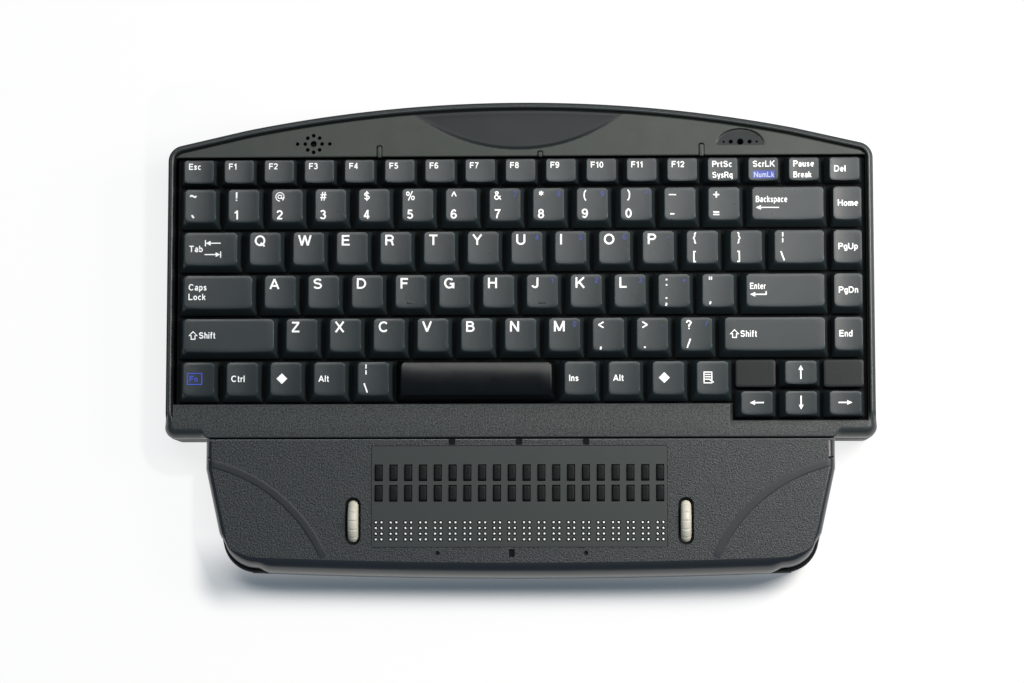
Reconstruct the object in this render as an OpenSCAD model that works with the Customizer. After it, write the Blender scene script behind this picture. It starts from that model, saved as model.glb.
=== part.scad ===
// Braille notetaker: a keyboard unit with a detachable braille display docked at its front edge
// Millimetres, +Z up, +Y to the rear, origin on the table under the middle of the object

/* [Keyboard] */
// Pitch of the letter keys across
key_pitch = 19.05; // [17:0.05:21]
// Pitch of the key rows from front to rear
row_pitch = 19; // [17:0.05:21]
// Depth of the function key row
function_row_d = 12.6; // [11:0.1:15]
// Depth of each of the two arrow key rows
arrow_row_d = 13.2; // [12:0.1:15]
// Width of the Backspace key's place
backspace_w = 36.4; // [30:0.1:45]
// Width of the navigation column at the right
nav_w = 15.3; // [14:0.1:20]
// Width of the Tab key's place
tab_w = 28.6; // [25:0.1:32]
// Width of the Caps Lock key's place
caps_w = 35.3; // [31:0.1:40]
// Width of the left Shift key's place
left_shift_w = 44.9; // [40:0.1:48]
// Gap between neighbouring keys at their skirts
key_gap = 1.2; // [0.8:0.1:2]
// Height of a keycap from its skirt to its top
key_h = 5.5; // [4.5:0.1:8]
// Travel of every key
key_travel = 2.5; // [1.5:0.1:3]
// Slope of a cap's sides, measured across at each side
side_skirt = 2.5; // [1.5:0.1:3]
// Slope of a cap's front, measured from front to rear
front_skirt = 3.3; // [2:0.1:4]
// Slope of a cap's back, measured from front to rear
back_skirt = 0.7; // [0.3:0.1:1.5]
// Slope of the function caps' sides, measured across at each side
function_skirt = 1.95; // [1:0.05:3]
// Slope of the low function and arrow caps at front and back
low_skirt = 1; // [0.6:0.1:1.5]
// Depth of the dish in a key's top
dish_depth = 0.45; // [0.2:0.05:0.8]
// Fall of the space bar's rolled top towards its front and back
roll_drop = 0.9; // [0.4:0.1:1.4]
// Wall thickness of a keycap
cap_wall = 1.2; // [0.8:0.1:1.6]
// Radius of the stem under each key
stem_r = 2.4; // [1.8:0.1:3]
// Radial clearance of a stem in the key frame
stem_clearance = 0.4; // [0.3:0.05:0.8]
// Height of the rubber domes
dome_h = 2.5; // [2:0.1:4]
// Radius of a dome at its foot
dome_r = 4.2; // [3.5:0.1:4.8]
// Thickness of the key frame
frame_t = 1.2; // [1:0.1:2]
// Height of the rims that hold the key frame off the deck
frame_rim_h = 1.2; // [0.8:0.1:2]
// Thickness of the steel keyboard plate
plate_t = 1; // [0.6:0.1:1.5]
// Thickness of the membrane and of the dome sheet
sheet_t = 0.4; // [0.2:0.1:0.6]

/* [Main unit] */
// Distance of the key field from each side of the case
side_margin = 5.75; // [5.4:0.05:9]
// Offset of the key field to the right
key_field_shift = 0.4; // [0:0.1:0.5]
// Depth of the deck strip in front of the keys
deck_strip_d = 15.2; // [14:0.1:22]
// Depth from the function keys to the middle of the rear edge
rear_band_d = 25.6; // [25:0.1:35]
// Rise of the arched rear edge from its ends to its middle
arch_rise = 19.86; // [15:0.01:25]
// Radius of the rear corners
rear_corner_r = 8; // [5:0.5:10]
// Radius of the front corners
front_corner_r = 5; // [4:0.5:10]
// Height of the deck above the table
deck_z = 30; // [29:0.1:36]
// Height of the joint between the two half cases of the main unit
split_z = 19; // [19:0.1:19.6]
// Height of the rubber feet that shows
foot_h = 1.2; // [0.8:0.1:2]
// Thickness of the case floors
floor_t = 2; // [1.6:0.1:2.6]
// Thickness of the case walls
wall_t = 2.4; // [2.2:0.1:2.8]
// Thickness of the decks
top_t = 3; // [2.6:0.1:3.4]
// Step from the lower case in to the upper case
lip_step = 1.4; // [0.5:0.1:1.5]
// Step from the lower case in to the upper case at the seam
seam_step = 0.2; // [0.1:0.1:1]
// Width of the rounded rim round the deck
bead_w = 1.8; // [1.2:0.1:1.9]
// Height of that rim above the deck
bead_h = 1.2; // [0.6:0.1:2]
// Width of the dark groove inside the rim
groove_w = 1.1; // [0.6:0.1:1.2]
// Thickness of the rear panel and of the braille panel
panel_t = 1.6; // [1.2:0.1:1.8]
// Clearance round a panel in its recess
panel_gap = 0.2; // [0.1:0.05:0.4]
// Clearance between the key field and the front and rear of its opening
well_gap = 0.4; // [0.3:0.05:1]

/* [Rear panel] */
// Distance of both grilles behind the function keys
grille_y = 6.6; // [5.5:0.1:7]
// Distance of the speaker grille left of the middle
speaker_x = 90.3; // [80:0.1:98]
// Distance of the microphone grille right of the middle
mic_x = 96.7; // [85:0.1:104]
// Radius of the ring of speaker holes
speaker_ring_r = 3.7; // [3.2:0.1:3.9]
// Distance of the two outer speaker holes from the middle one
speaker_outer_x = 7.1; // [6.4:0.1:8]
// Width of the scoop over the microphone holes
mic_scoop_w = 21.8; // [20:0.1:24]
// Depth of that scoop from front to rear
mic_scoop_d = 7.3; // [5:0.1:8]
// Chord of the shallow recess in the middle of the panel
lens_w = 83; // [70:0.5:95]
// Depth of the middle recess from its chord to its front edge
lens_sag = 12.6; // [10:0.1:14]
// Depth of the recesses in the panel's face
recess_depth = 0.7; // [0.3:0.1:0.9]

/* [Inside the main unit] */
// Width and depth of the battery pack
battery = [85, 60]; // [50:1:90]
// Height of the battery pack
battery_h = 11; // [8:0.5:12]
// Thickness of the circuit boards
board_t = 1.6; // [1:0.1:2]
// Height of the main board above the case floor
board_lift = 4.8; // [4:0.1:5]
// Radius of the screw shanks
screw_r = 1.25; // [1:0.05:1.5]
// Radius of the screw heads
screw_head_r = 2.6; // [2.2:0.1:2.8]
// Radius of the screw bosses
boss_r = 3.6; // [3.4:0.1:3.8]
// Radius of the rubber feet
foot_r = 6; // [4:0.5:7]
// Radius of the headphone bore
jack_r = 1.8; // [1.75:0.05:2]
// Length of the sockets along X
socket_l = 14; // [13:0.5:16]

/* [Dock] */
// Width of the docking tongue
tongue_w = 150; // [120:1:152]
// Depth of the docking tongue
tongue_d = 24; // [18:0.5:25]
// Thickness of the docking tongue
tongue_t = 8; // [7:0.1:9]
// Clearance of the tongue in its pocket
dock_gap = 0.3; // [0.2:0.05:0.5]
// Wall of the pocket
pocket_wall = 2; // [1.6:0.1:2.4]
// Width of the dock plug
plug_w = 36; // [24:1:44]
// Length of the dock plug behind the tongue
plug_l = 5; // [4:0.1:6]
// Thickness of the dock plug
plug_t = 3; // [2:0.1:3.4]

/* [Braille display] */
// Gap at the seam between the two units
seam_gap = 0.3; // [0.2:0.05:0.6]
// Number of braille cells
cells = 20; // [12:1:22]
// Pitch of the braille cells
cell_pitch = 6.42; // [6.2:0.01:6.6]
// Pitch of the dots in a cell
dot_pitch = 2.45; // [2.3:0.01:2.6]
// Radius of the braille pins
pin_r = 0.65; // [0.5:0.01:0.7]
// Radial clearance of the pins
pin_gap = 0.25; // [0.2:0.01:0.3]
// Height of a lowered pin's tip above the panel
pin_proud = 0.15; // [0.05:0.05:0.3]
// Margin of the panel at both ends of the braille line
panel_end = -0.2; // [-0.2:0.1:4]
// Depth of the braille panel
panel_d = 43.7; // [42:0.1:48]
// Distance of the panel from the seam
panel_back = 3.55; // [3.4:0.05:3.8]
// Distance of the braille line's middle from the panel's front edge
line_inset = 6.9; // [6.4:0.05:7.3]
// Distance of the rear row of buttons from the panel's front edge
rear_buttons_inset = 32.1; // [31.2:0.05:33.2]
// Distance of the front row of buttons from the panel's front edge
front_buttons_inset = 23.2; // [22.2:0.05:24.2]
// Width and depth of a routing button
button = [3.05, 6.75]; // [2:0.05:7.4]
// Height of a button above the panel
button_proud = 0.8; // [0.4:0.1:1.2]
// Clearance round a button
button_gap = 0.25; // [0.2:0.05:0.3]
// Travel of a button
button_travel = 0.6; // [0.3:0.1:0.8]
// Depth of the display in front of the seam
display_d = 60.3; // [58:0.1:66]
// Width of the display on each side of the braille panel
wing_w = 72.8; // [70:0.1:82]
// Depth of the straight stretch of the display's sides
straight_d = 13; // [8:0.5:20]
// How far each side draws in from there to the front corner
side_draw = 9.8; // [4:0.1:14]
// Bow of the front edge between the corners
front_bow = 2.35; // [1.5:0.05:4]
// Radius of the front corners of the display
nose_corner_r = 15; // [10:0.5:18]
// Radius of the rounded front edge
nose_r = 6.6; // [4:0.1:8]
// Height of the joint between the display's half cases
display_split_z = 15; // [13:0.1:16]
// Radius of the arc ridges on the wings
ridge_r = 70; // [60:0.5:80]
// Width of the arc ridges
ridge_w = 3.6; // [2.5:0.1:5]
// Height of the arc ridges
ridge_h = 0.5; // [0.3:0.1:0.8]
// Distance of a ridge's centre outside the display's side
ridge_out = 13.6; // [8:0.1:20]
// Distance of a ridge's centre in front of the display
ridge_front = 20.35; // [10:0.05:30]
// Thickness of the corner bumpers
bumper_t = 1.5; // [1:0.1:1.6]
// Height of the corner bumpers
bumper_h = 16; // [10:0.5:18]
// Width and depth of the locator blocks at the seam
locator = [2.6, 2.5]; // [1.5:0.1:2.8]
// Pitch of the locator blocks
locator_pitch = 29.1; // [20:0.1:40]

/* [Thumb wheels] */
// Radius of a thumb wheel
wheel_r = 12; // [10:0.1:12.4]
// Width of a thumb wheel
wheel_w = 4.5; // [3.5:0.1:5]
// Height of a wheel above the deck
wheel_proud = 3.7; // [2.5:0.1:4.5]
// Distance of a wheel from the end of the braille panel
wheel_out = 8.1; // [7.5:0.1:11]
// Distance of the wheels' axles from the seam
wheel_back = 36.05; // [33:0.05:38]
// Clearance round a wheel in its slot
wheel_gap = 0.65; // [0.4:0.05:0.8]
// Number of ribs round a wheel
wheel_ribs = 18; // [12:1:48]
// Radius of the grooves between the ribs
rib_groove_r = 0.45; // [0.3:0.05:0.6]
// Radius of the moulded stub axles
axle_r = 1.5; // [1.2:0.05:2]
// Radial clearance of an axle in its yoke
axle_gap = 0.08; // [0.04:0.01:0.1]
// Thickness of the yoke's cheeks and base
yoke_t = 1.4; // [1.2:0.1:1.5]
// Travel of a pressed wheel
press_travel = 0.8; // [0.4:0.1:1]

/* [Hidden] */
$fn = 48;
eps = 0.01;

// Plan of the key field
letter_rows = 5;
number_keys = 13;
upper_keys = 12;
home_keys = 11;
lower_keys = 10;
function_keys = 17;
left_keys = 5;
right_keys = 4;
arrow_columns = 3;
keyboard_w = number_keys * key_pitch + backspace_w + nav_w;
function_pitch = keyboard_w / function_keys;
body_w = keyboard_w + 2 * side_margin;
main_d = deck_strip_d + letter_rows * row_pitch + function_row_d + rear_band_d;
overall_d = main_d + seam_gap + display_d;
rear_y = overall_d / 2;
seam_y = rear_y - main_d;
key_left = key_field_shift - keyboard_w / 2;
key_right = key_left + keyboard_w;
key_front = seam_y + deck_strip_d;
function_row_y = key_front + letter_rows * row_pitch;
key_back = function_row_y + function_row_d;
arrow_front = key_front + row_pitch - 2 * arrow_row_d;
arrow_left = key_right - arrow_columns * key_pitch;

// Heights of the keyboard's layers, from the deck down
deck_under = deck_z - top_t;
frame_top = deck_under - frame_rim_h;
frame_bottom = frame_top - frame_t;
frame_edge = 2;
frame_side = 0.9;
frame_inner = 0.3;
stem_end_gap = 0.1;
sheet_top = frame_bottom - dome_h - 3 * stem_end_gap;
membrane_top = sheet_top - sheet_t;
plate_top = membrane_top - sheet_t;
plate_bottom = plate_top - plate_t;
stem_bottom = sheet_top + dome_h + stem_end_gap;
dome_draw = 1.6;
dome_skin = 0.6;
skirt_clearance = 0.2;
skirt_z = frame_top + key_travel + skirt_clearance;
key_top = skirt_z + key_h;
filler_h = 5.2;
filler_gap = 0.7;

// Places of the keys, each as left edge, front edge, width and depth
function sum_to(v, n) = n == 0 ? 0 : v[n - 1] + sum_to(v, n - 1);
function row_cells(widths, y, d) =
    [for (i = [0 : len(widths) - 1]) [key_left + sum_to(widths, i), y, widths[i], d]];
function same(w, n) = [for (i = [1 : n]) w];
function filled(widths, total) = concat(widths, [total - sum_to(widths, len(widths))]);
function part_of(v, first, last) = [for (i = [first : last]) v[i]];
function last_of(v) = v[len(v) - 1];
function row_y(k) = key_front + k * row_pitch;

// A letter row: its keys, the wide key that fills it up, and a key of the navigation column
function letter_row(widths, k) =
    row_cells(concat(filled(widths, keyboard_w - nav_w), nav_w), row_y(k), row_pitch);

function_cells = row_cells(same(function_pitch, function_keys), function_row_y, function_row_d);
number_cells = letter_row(same(key_pitch, number_keys), 4);
upper_cells = letter_row(concat(tab_w, same(key_pitch, upper_keys)), 3);
home_cells = letter_row(concat(caps_w, same(key_pitch, home_keys)), 2);
lower_cells = letter_row(concat(left_shift_w, same(key_pitch, lower_keys)), 1);
space_w = keyboard_w - (left_keys + right_keys + arrow_columns) * key_pitch;
bottom_cells =
    row_cells(concat(same(key_pitch, left_keys), space_w, same(key_pitch, right_keys)), row_y(0), row_pitch);
function arrow_cell(column, row) =
    [arrow_left + column * key_pitch, arrow_front + row * arrow_row_d, key_pitch, arrow_row_d];
arrow_cells = [arrow_cell(1, 1), arrow_cell(0, 0), arrow_cell(1, 0), arrow_cell(2, 0)];
filler_cells = [arrow_cell(0, 1), arrow_cell(2, 1)];
navigation_cells = [last_of(number_cells), last_of(upper_cells), last_of(home_cells), last_of(lower_cells)];
modifier_cells = concat(
    part_of(bottom_cells, 0, left_keys - 1), part_of(bottom_cells, left_keys + 1, left_keys + right_keys)
);
all_cells = concat(
    function_cells, number_cells, upper_cells, home_cells, lower_cells, bottom_cells, arrow_cells
);

// Plan of the case
half_w = body_w / 2;
case_floor = foot_h + floor_t;
rim_w = lip_step + bead_w + groove_w;
groove_depth = 1;
arch_r = (half_w * half_w + arch_rise * arch_rise) / (2 * arch_rise);
arch_y = rear_y - arch_r;
shoulder_w = 35;
chord_x = half_w - shoulder_w;
min_corner_r = 0.5;
corner_swell = 0.02;
function arch_at(x, d) = arch_y + sqrt((arch_r - d) * (arch_r - d) - x * x);

// Rear panel: holes as distance from the middle and radius, tabs as place and depth of their notch
grille_line = key_back + grille_y;
speaker_window = 18;
speaker_hole_r = 1.18;
speaker_ring_hole_r = 0.72;
ring_holes = 8;
mic_holes = [[0, 1.45], [-4.1, 0.92], [4.1, 0.92], [-7.2, 0.5], [7.2, 0.5]];
mic_scoop_r = (mic_scoop_w * mic_scoop_w / 4 + mic_scoop_d * mic_scoop_d) / (2 * mic_scoop_d);
lens_r = (lens_w * lens_w / 4 + lens_sag * lens_sag) / (2 * lens_sag);
lens_gap = 3.3;
lens_front = key_back + lens_gap;
tab_places = [[-61.3, 5.2], [9.3, 2.5], [79.8, 5.5]];
tab_piece_w = 2;
tab_notch_w = 2.6;
tab_drop = 0.6;
tab_d = frame_edge - well_gap - panel_gap;

// Dock
tongue_z = foot_h;
pocket_back = seam_y + tongue_d + dock_gap;
dock_socket_d = 8;
dock_shell = 1.2;
plug_z = case_floor + dock_gap + dock_shell;

// Screws and feet of the main unit
thread_gap = 0.05;
screw_gap = 0.2;
head_recess = 5.8;
head_h = 2;
screw_end_gap = 2;
screw_top = deck_under - screw_end_gap;
boss_wall_gap = 0.2;
boss_strip = 8.4;
boss_side = 14.6;
boss_pocket_gap = 2.4;
rear_boss_y = arch_at(chord_x, lip_step + wall_t + boss_r + boss_wall_gap);
middle_boss_y = arch_at(0, lip_step + wall_t + boss_r + boss_wall_gap);
front_boss_x = tongue_w / 2 + dock_gap + pocket_wall + boss_r + boss_pocket_gap;
front_boss_y = seam_y + boss_strip;
screw_points = [
    [-chord_x, rear_boss_y], [0, middle_boss_y], [chord_x, rear_boss_y],
    [boss_side - half_w, front_boss_y], [-front_boss_x, front_boss_y], [front_boss_x, front_boss_y]
];
foot_gap = 0.1;
foot_sink = 0.8;
foot_inset = 16;
foot_step = 4;
foot_back = 2;
main_foot_points = [
    [foot_inset - half_w, seam_y + 1.5 * foot_inset], [half_w - foot_inset, seam_y + 1.5 * foot_inset],
    [foot_inset + foot_step - half_w, key_back - foot_back],
    [half_w - foot_inset - foot_step, key_back - foot_back]
];

// Battery bay
bay_wall = 6;
bay_gap = 0.3;
bay_ledge = 4.2;
bay_h = 5;
bay_side = 17;
bay_strip = 30;
bay_left = bay_side - half_w;
bay_front = key_front + bay_strip;
bay_right = bay_left + battery[0] + bay_gap + bay_wall;
battery_corner_r = 3;
cover_screw_inset = 14;
cover_screw_l = 6;
cover_head_r = 2;
cover_head_h = 1;
cover_screw_points = [
    for (x = [bay_left + cover_screw_inset, bay_left + battery[0] - cover_screw_inset])
        for (y = [bay_front - bay_ledge / 2 - bay_gap, bay_front + battery[1] + bay_ledge / 2 + bay_gap])
            [x, y]
];

// Main board, its chips as place on the board and size, and the posts under it and under the keyboard
bay_board_gap = 10.2;
board_side = 3.2;
board_strip = 20.7;
board_back_gap = 3;
board_left = bay_right + bay_board_gap;
board_right = half_w - wall_t - board_side;
board_front = key_front + board_strip;
board_back = key_back - board_back_gap;
board_z = case_floor + board_lift;
board_top = board_z + board_t;
chip_h = 2;
chips = [[0.2, 0.3, 22], [0.45, 0.35, 28], [0.3, 0.7, 16], [0.6, 0.7, 18]];
post_r = 3;
post_side = 4.4;
post_strip = 13.7;
post_back = 5;
post_inset = 15;
post_x = (bay_right + board_left) / 2;
front_post_x = [key_left + post_side, post_x, tongue_w / 2 - post_inset, board_right - post_r];
post_points = concat(
    [for (x = front_post_x) [x, key_front + post_strip]],
    [[post_x, bay_front + battery[1] / 2], [post_x, key_back - post_back]]
);
standoff_inset = [6, 5];
standoff_points = [
    for (x = [board_left + standoff_inset[0], board_right - standoff_inset[0]])
        for (y = [board_front + standoff_inset[1], board_back - standoff_inset[1]])
            [x, y]
];

// Sockets, each as width and height
socket_recess = 0.4;
socket_gap = 0.2;
socket_pitch = 20;
socket_face = half_w - socket_recess;
power_size = [9, 8.6];
power_depth = 10;
power_bore_r = 2.85;
power_pin_r = 1;
usb_size = [13.2, 5.8];
usb_wall = 0.5;
usb_depth = 12;
usb_tongue = [11, 1.8];
usb_tongue_lift = 0.2;
usb_tongue_back = 2;
jack_size = [8, 7];
jack_end = 1;
nose_ring_r = 3.1;
power_y = board_back - socket_pitch / 2;
usb_y = power_y - socket_pitch;
jack_y = usb_y - socket_pitch;
power_z = board_top + power_size[1] / 2;
usb_z = board_top + usb_size[1] / 2;
jack_z = board_top + jack_size[1] / 2;

// Speaker and microphone under the deck
speaker_size = [24, 9, 4.6];
speaker_cone_r = 3.6;
speaker_cone_h = 1;
speaker_gap = 0.9;
mic_r = 2.4;
mic_h = 2.5;
mic_gap = 0.5;

// Plan of the display
display_y = seam_y - seam_gap;
display_front = display_y - display_d;
panel_w = cells * cell_pitch + 2 * panel_end;
display_half = panel_w / 2 + wing_w;
panel_front = seam_y - panel_back - panel_d;
line_y = panel_front + line_inset;
rear_buttons_y = panel_front + rear_buttons_inset;
front_buttons_y = panel_front + front_buttons_inset;
corner_x = display_half - side_draw;
corner_y = display_front + front_bow;
bow_share = 0.75;
bow_margin = 3;
bow_x = corner_x - nose_corner_r * bow_share;
bow_r = (bow_x * bow_x + front_bow * front_bow) / (2 * front_bow);
panel_ledge = 1.5;
panel_under = deck_z - panel_t;
bumper_z = 4;
locator_gap = 0.1;
locator_sink = 1.2;
locator_proud = 0.4;
locator_points = [for (i = [-1 : 1]) [i * locator_pitch, display_y - locator[1] / 2 - locator_gap]];
rear_boss = [16, 9];
nose_boss = [26, 9.5];
rear_foot = [30, 12];
nose_foot = [14, 14];
// Points at both ends of the display: inset from its rear corners, and from its front corners
function end_points(rear, nose) = [
    [rear[0] - display_half, display_y - rear[1]], [display_half - rear[0], display_y - rear[1]],
    [nose[0] - corner_x, corner_y + nose[1]], [corner_x - nose[0], corner_y + nose[1]]
];
display_boss_points = end_points(rear_boss, nose_boss);
display_foot_points = end_points(rear_foot, nose_foot);

// Inside the display
cell_gap = 0.22;
cell_w = cell_pitch - cell_gap;
cell_post_h = 1.2;
cell_board_z = case_floor + cell_post_h;
cell_z = cell_board_z + board_t;
dot_rows = [1.5, 0.5, -0.5, -1.5];
dot_columns = [-0.5, 0.5];
// Row and column of dots 1 to 8 in a cell
dot_places = [[0, 0], [1, 0], [2, 0], [0, 1], [1, 1], [2, 1], [3, 0], [3, 1]];
block_edge = 1.3;
block_skin = 0.4;
block_front = line_y - dot_rows[0] * dot_pitch - block_edge;
block_back = line_y + dot_rows[0] * dot_pitch + block_edge;
cell_back_gap = 6;
cell_back = seam_y - cell_back_gap;
clamp_d = 4;
cell_post_inset = [8, 4];
cell_post_points = [
    for (x = [-1, 1])
        for (y = [block_front + cell_post_inset[1], cell_back - cell_post_inset[1]])
            [x * (panel_w / 2 - cell_post_inset[0]), y]
];
switch_gap = 0.1;
switch_w = 2.4;
switch_h = 1.2;
button_leg = 1;
flange_h = 1;
flange_gap = 0.2;
flange_edge = 0.4;
flange_top = panel_under - flange_gap;
button_bottom = flange_top - flange_h - button_leg;
button_board_top = button_bottom - button_travel - switch_gap - switch_h;
board_edge = 1;
cell_top = button_board_top - board_t;
chamber_wall = 1.6;
chamber_top = cell_top - chamber_wall;
chamber_z = cell_z + chamber_wall;
reed_t = 0.35;
reed_w = 2;
reed_nose = 0.9;
reed_step = (chamber_top - chamber_z) / len(dot_rows);
pin_round = 0.3;
function reed_top(row) = chamber_z + (len(dot_rows) - row - 0.5) * reed_step;
function cell_x(i) = (i - (cells - 1) / 2) * cell_pitch;
function dot_x(i, dot) = cell_x(i) + dot_columns[dot[1]] * dot_pitch;
function dot_y(dot) = line_y + dot_rows[dot[0]] * dot_pitch;

// Thumb wheels
wheel_x = panel_w / 2 + wheel_out;
wheel_y = seam_y - wheel_back;
wheel_z = deck_z + wheel_proud - wheel_r;
cheek_gap = 0.35;
cheek_x = wheel_w / 2 + cheek_gap;
yoke_base_gap = 0.4;
yoke_draw = 1;
yoke_half_y = wheel_r - yoke_draw;
yoke_base = wheel_z - wheel_r - yoke_base_gap - yoke_t;
bearing_wall = 1.6;
yoke_top = wheel_z + axle_r + bearing_wall;
cheek_side = 2.4;
cheek_half_y = axle_r + cheek_side;
guide_gap = 0.25;
guide_y = yoke_half_y + guide_gap;
guide_t = 2;
guide_w = 8;
guide_drop = 8;
guide_top = wheel_z - guide_drop;
press_switch = 5;

// Direction from one point to another
function dir(a, b) = (b - a) / norm(b - a);
// Inward normal of a counter-clockwise edge
function inward(a, b) = let (u = dir(a, b)) [-u[1], u[0]];
// Corners of a convex counter-clockwise outline, moved in by d
function inset_points(p, d) = [
    for (i = [0 : len(p) - 1])
        let (a = p[(i + len(p) - 1) % len(p)])
        let (c = p[(i + 1) % len(p)])
        let (n = inward(a, p[i]))
        let (m = inward(p[i], c))
        p[i] + d * (n + m) / (1 + n * m)
];

// A convex outline whose corner i is rounded by radii[i], its arcs a hair proud so that they cross the sides
module rounded_outline(p, radii) {
    n = len(p);
    arms = [for (i = [0 : n - 1]) [dir(p[i], p[(i + n - 1) % n]), dir(p[i], p[(i + 1) % n])]];
    half = [for (i = [0 : n - 1]) acos(arms[i][0] * arms[i][1]) / 2];
    polygon([
        for (i = [0 : n - 1])
            for (side = [0, 1])
                p[i] + arms[i][side] * radii[i] / tan(half[i])
    ]);
    for (i = [0 : n - 1])
        if (radii[i] > 0)
            translate(p[i] + dir([0, 0], arms[i][0] + arms[i][1]) * radii[i] / sin(half[i]))
                circle(radii[i] + corner_swell);
}

module rounded_box(size, r, h) {
    x = size[0] / 2;
    y = size[1] / 2;
    linear_extrude(h)
        rounded_outline([[-x, -y], [x, -y], [x, y], [-x, y]], [r, r, r, r]);
}

// Plan of the main unit, moved in by d: straight sides, round corners, an arch between two straight shoulders.
// The front edge can be moved in by its own amount
module case_plan(d, front_in) {
    x = half_w - d;
    front_y = seam_y + (is_undef(front_in) ? d : front_in);
    side_y = arch_at(x, d);
    chord_y = arch_at(chord_x, d);
    peak_y = chord_y + (chord_y - side_y) * chord_x / (x - chord_x);
    front = max(front_corner_r - d, min_corner_r);
    rear = max(rear_corner_r - d, min_corner_r);
    intersection() {
        rounded_outline(
            [[-x, front_y], [x, front_y], [x, side_y], [0, peak_y], [-x, side_y]],
            [front, front, rear, 0, rear]
        );
        translate([0, arch_y])
            circle(arch_r - d, $fn = 200);
    }
}

// Plan of the display, moved in by d: straight then drawn-in sides, bowed front
module display_plan(d) {
    corners = inset_points([
        [-corner_x, corner_y], [corner_x, corner_y], [display_half, display_y - straight_d],
        [display_half, display_y], [-display_half, display_y], [-display_half, display_y - straight_d]
    ], d);
    nose = nose_corner_r - d;
    rounded_outline(corners, [nose, nose, 0, 0, 0, 0]);
    intersection() {
        translate([0, display_front + bow_r])
            circle(bow_r - d, $fn = 200);
        translate([-bow_x - bow_margin, display_front - bow_margin])
            square([2 * (bow_x + bow_margin), front_bow + 2 * bow_margin]);
    }
}

module slab(z, h) {
    translate([0, 0, z])
        linear_extrude(h)
            children();
}

// Rectangle of the key field grown by the given margins, with the arrow block
module key_field(side, front, back) {
    translate([key_left - side, key_front - front])
        square([keyboard_w + 2 * side, key_back - key_front + front + back]);
    translate([arrow_left - side, arrow_front - front])
        square([key_right - arrow_left + 2 * side, key_front - arrow_front + front + row_pitch / 2]);
}

// Opening of the deck round the keys, out to the rims at both sides
module key_opening() {
    translate([-half_w + rim_w, key_front - well_gap])
        square([2 * (half_w - rim_w), key_back - key_front + 2 * well_gap]);
    translate([arrow_left - well_gap, arrow_front - well_gap])
        square([half_w - rim_w - arrow_left + well_gap, key_front - arrow_front]);
}

module at(points) {
    for (p = points)
        translate([p[0], p[1], 0])
            children();
}

function centre(c) = [c[0] + c[2] / 2, c[1] + c[3] / 2];

// Pieces of the main unit

// The pocket for the docking tongue, grown by a wall and carried on in front of the seam
module pocket(grow, front, z, h) {
    w = tongue_w + 2 * (dock_gap + grow);
    translate([-w / 2, seam_y - front, z])
        cube([w, tongue_d + dock_gap + grow + front, h]);
}

module bay(grow, z, h) {
    translate([bay_left - grow, bay_front - grow, z])
        cube([battery[0] + 2 * grow, battery[1] + 2 * grow, h]);
}

module side_cut(y, z, size) {
    translate([half_w - 2 * wall_t, y - size[0] / 2, z - size[1] / 2])
        cube([3 * wall_t, size[0], size[1]]);
}

module lower_case() {
    color("#2b2f2e")
    difference() {
        union() {
            difference() {
                slab(foot_h, split_z - foot_h)
                    case_plan(0);
                slab(case_floor, split_z)
                    case_plan(wall_t);
            }
            pocket(pocket_wall, 0, foot_h, tongue_t + dock_gap + pocket_wall);
            bay(bay_gap + bay_wall, foot_h, floor_t + bay_h);
            at(screw_points)
                translate([0, 0, foot_h])
                    cylinder(r = boss_r, h = split_z - foot_h);
            at(post_points)
                translate([0, 0, foot_h])
                    cylinder(r = post_r, h = plate_bottom - foot_h);
            at(standoff_points)
                translate([0, 0, foot_h])
                    cylinder(r = post_r, h = board_z - foot_h);
        }
        pocket(0, 1, foot_h - 1, tongue_t + dock_gap + 1);
        translate([-plug_w / 2 - dock_gap, pocket_back - 1, plug_z - dock_gap])
            cube([plug_w + 2 * dock_gap, pocket_wall + 2, plug_t + 2 * dock_gap]);
        bay(bay_gap, foot_h - 1, floor_t + bay_h + 2);
        bay(bay_gap + bay_ledge, foot_h - 1, floor_t + 1);
        at(screw_points) {
            translate([0, 0, foot_h - 1])
                cylinder(r = screw_r + screw_gap, h = split_z);
            translate([0, 0, foot_h - 1])
                cylinder(r = screw_head_r + screw_gap, h = head_recess + 1);
        }
        at(cover_screw_points)
            translate([0, 0, foot_h])
                cylinder(r = screw_r + thread_gap, h = cover_screw_l + 1);
        at(main_foot_points)
            translate([0, 0, foot_h - 1])
                cylinder(r = foot_r + foot_gap, h = foot_sink + 1);
        side_cut(usb_y, usb_z, usb_size + 2 * [socket_gap, socket_gap]);
        side_cut(power_y, power_z, power_size + 2 * [socket_gap, socket_gap]);
        translate([half_w - 2 * wall_t, jack_y, jack_z])
            rotate([0, 90, 0])
                cylinder(r = nose_ring_r + socket_gap, h = 3 * wall_t);
    }
}

// Notches at the front edge of the rear panel, for the tabs of the key frame
module tab_notches(z, h) {
    for (t = tab_places)
        translate([t[0] - tab_notch_w / 2, key_back, z])
            cube([tab_notch_w, well_gap + t[1], h]);
}

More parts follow.
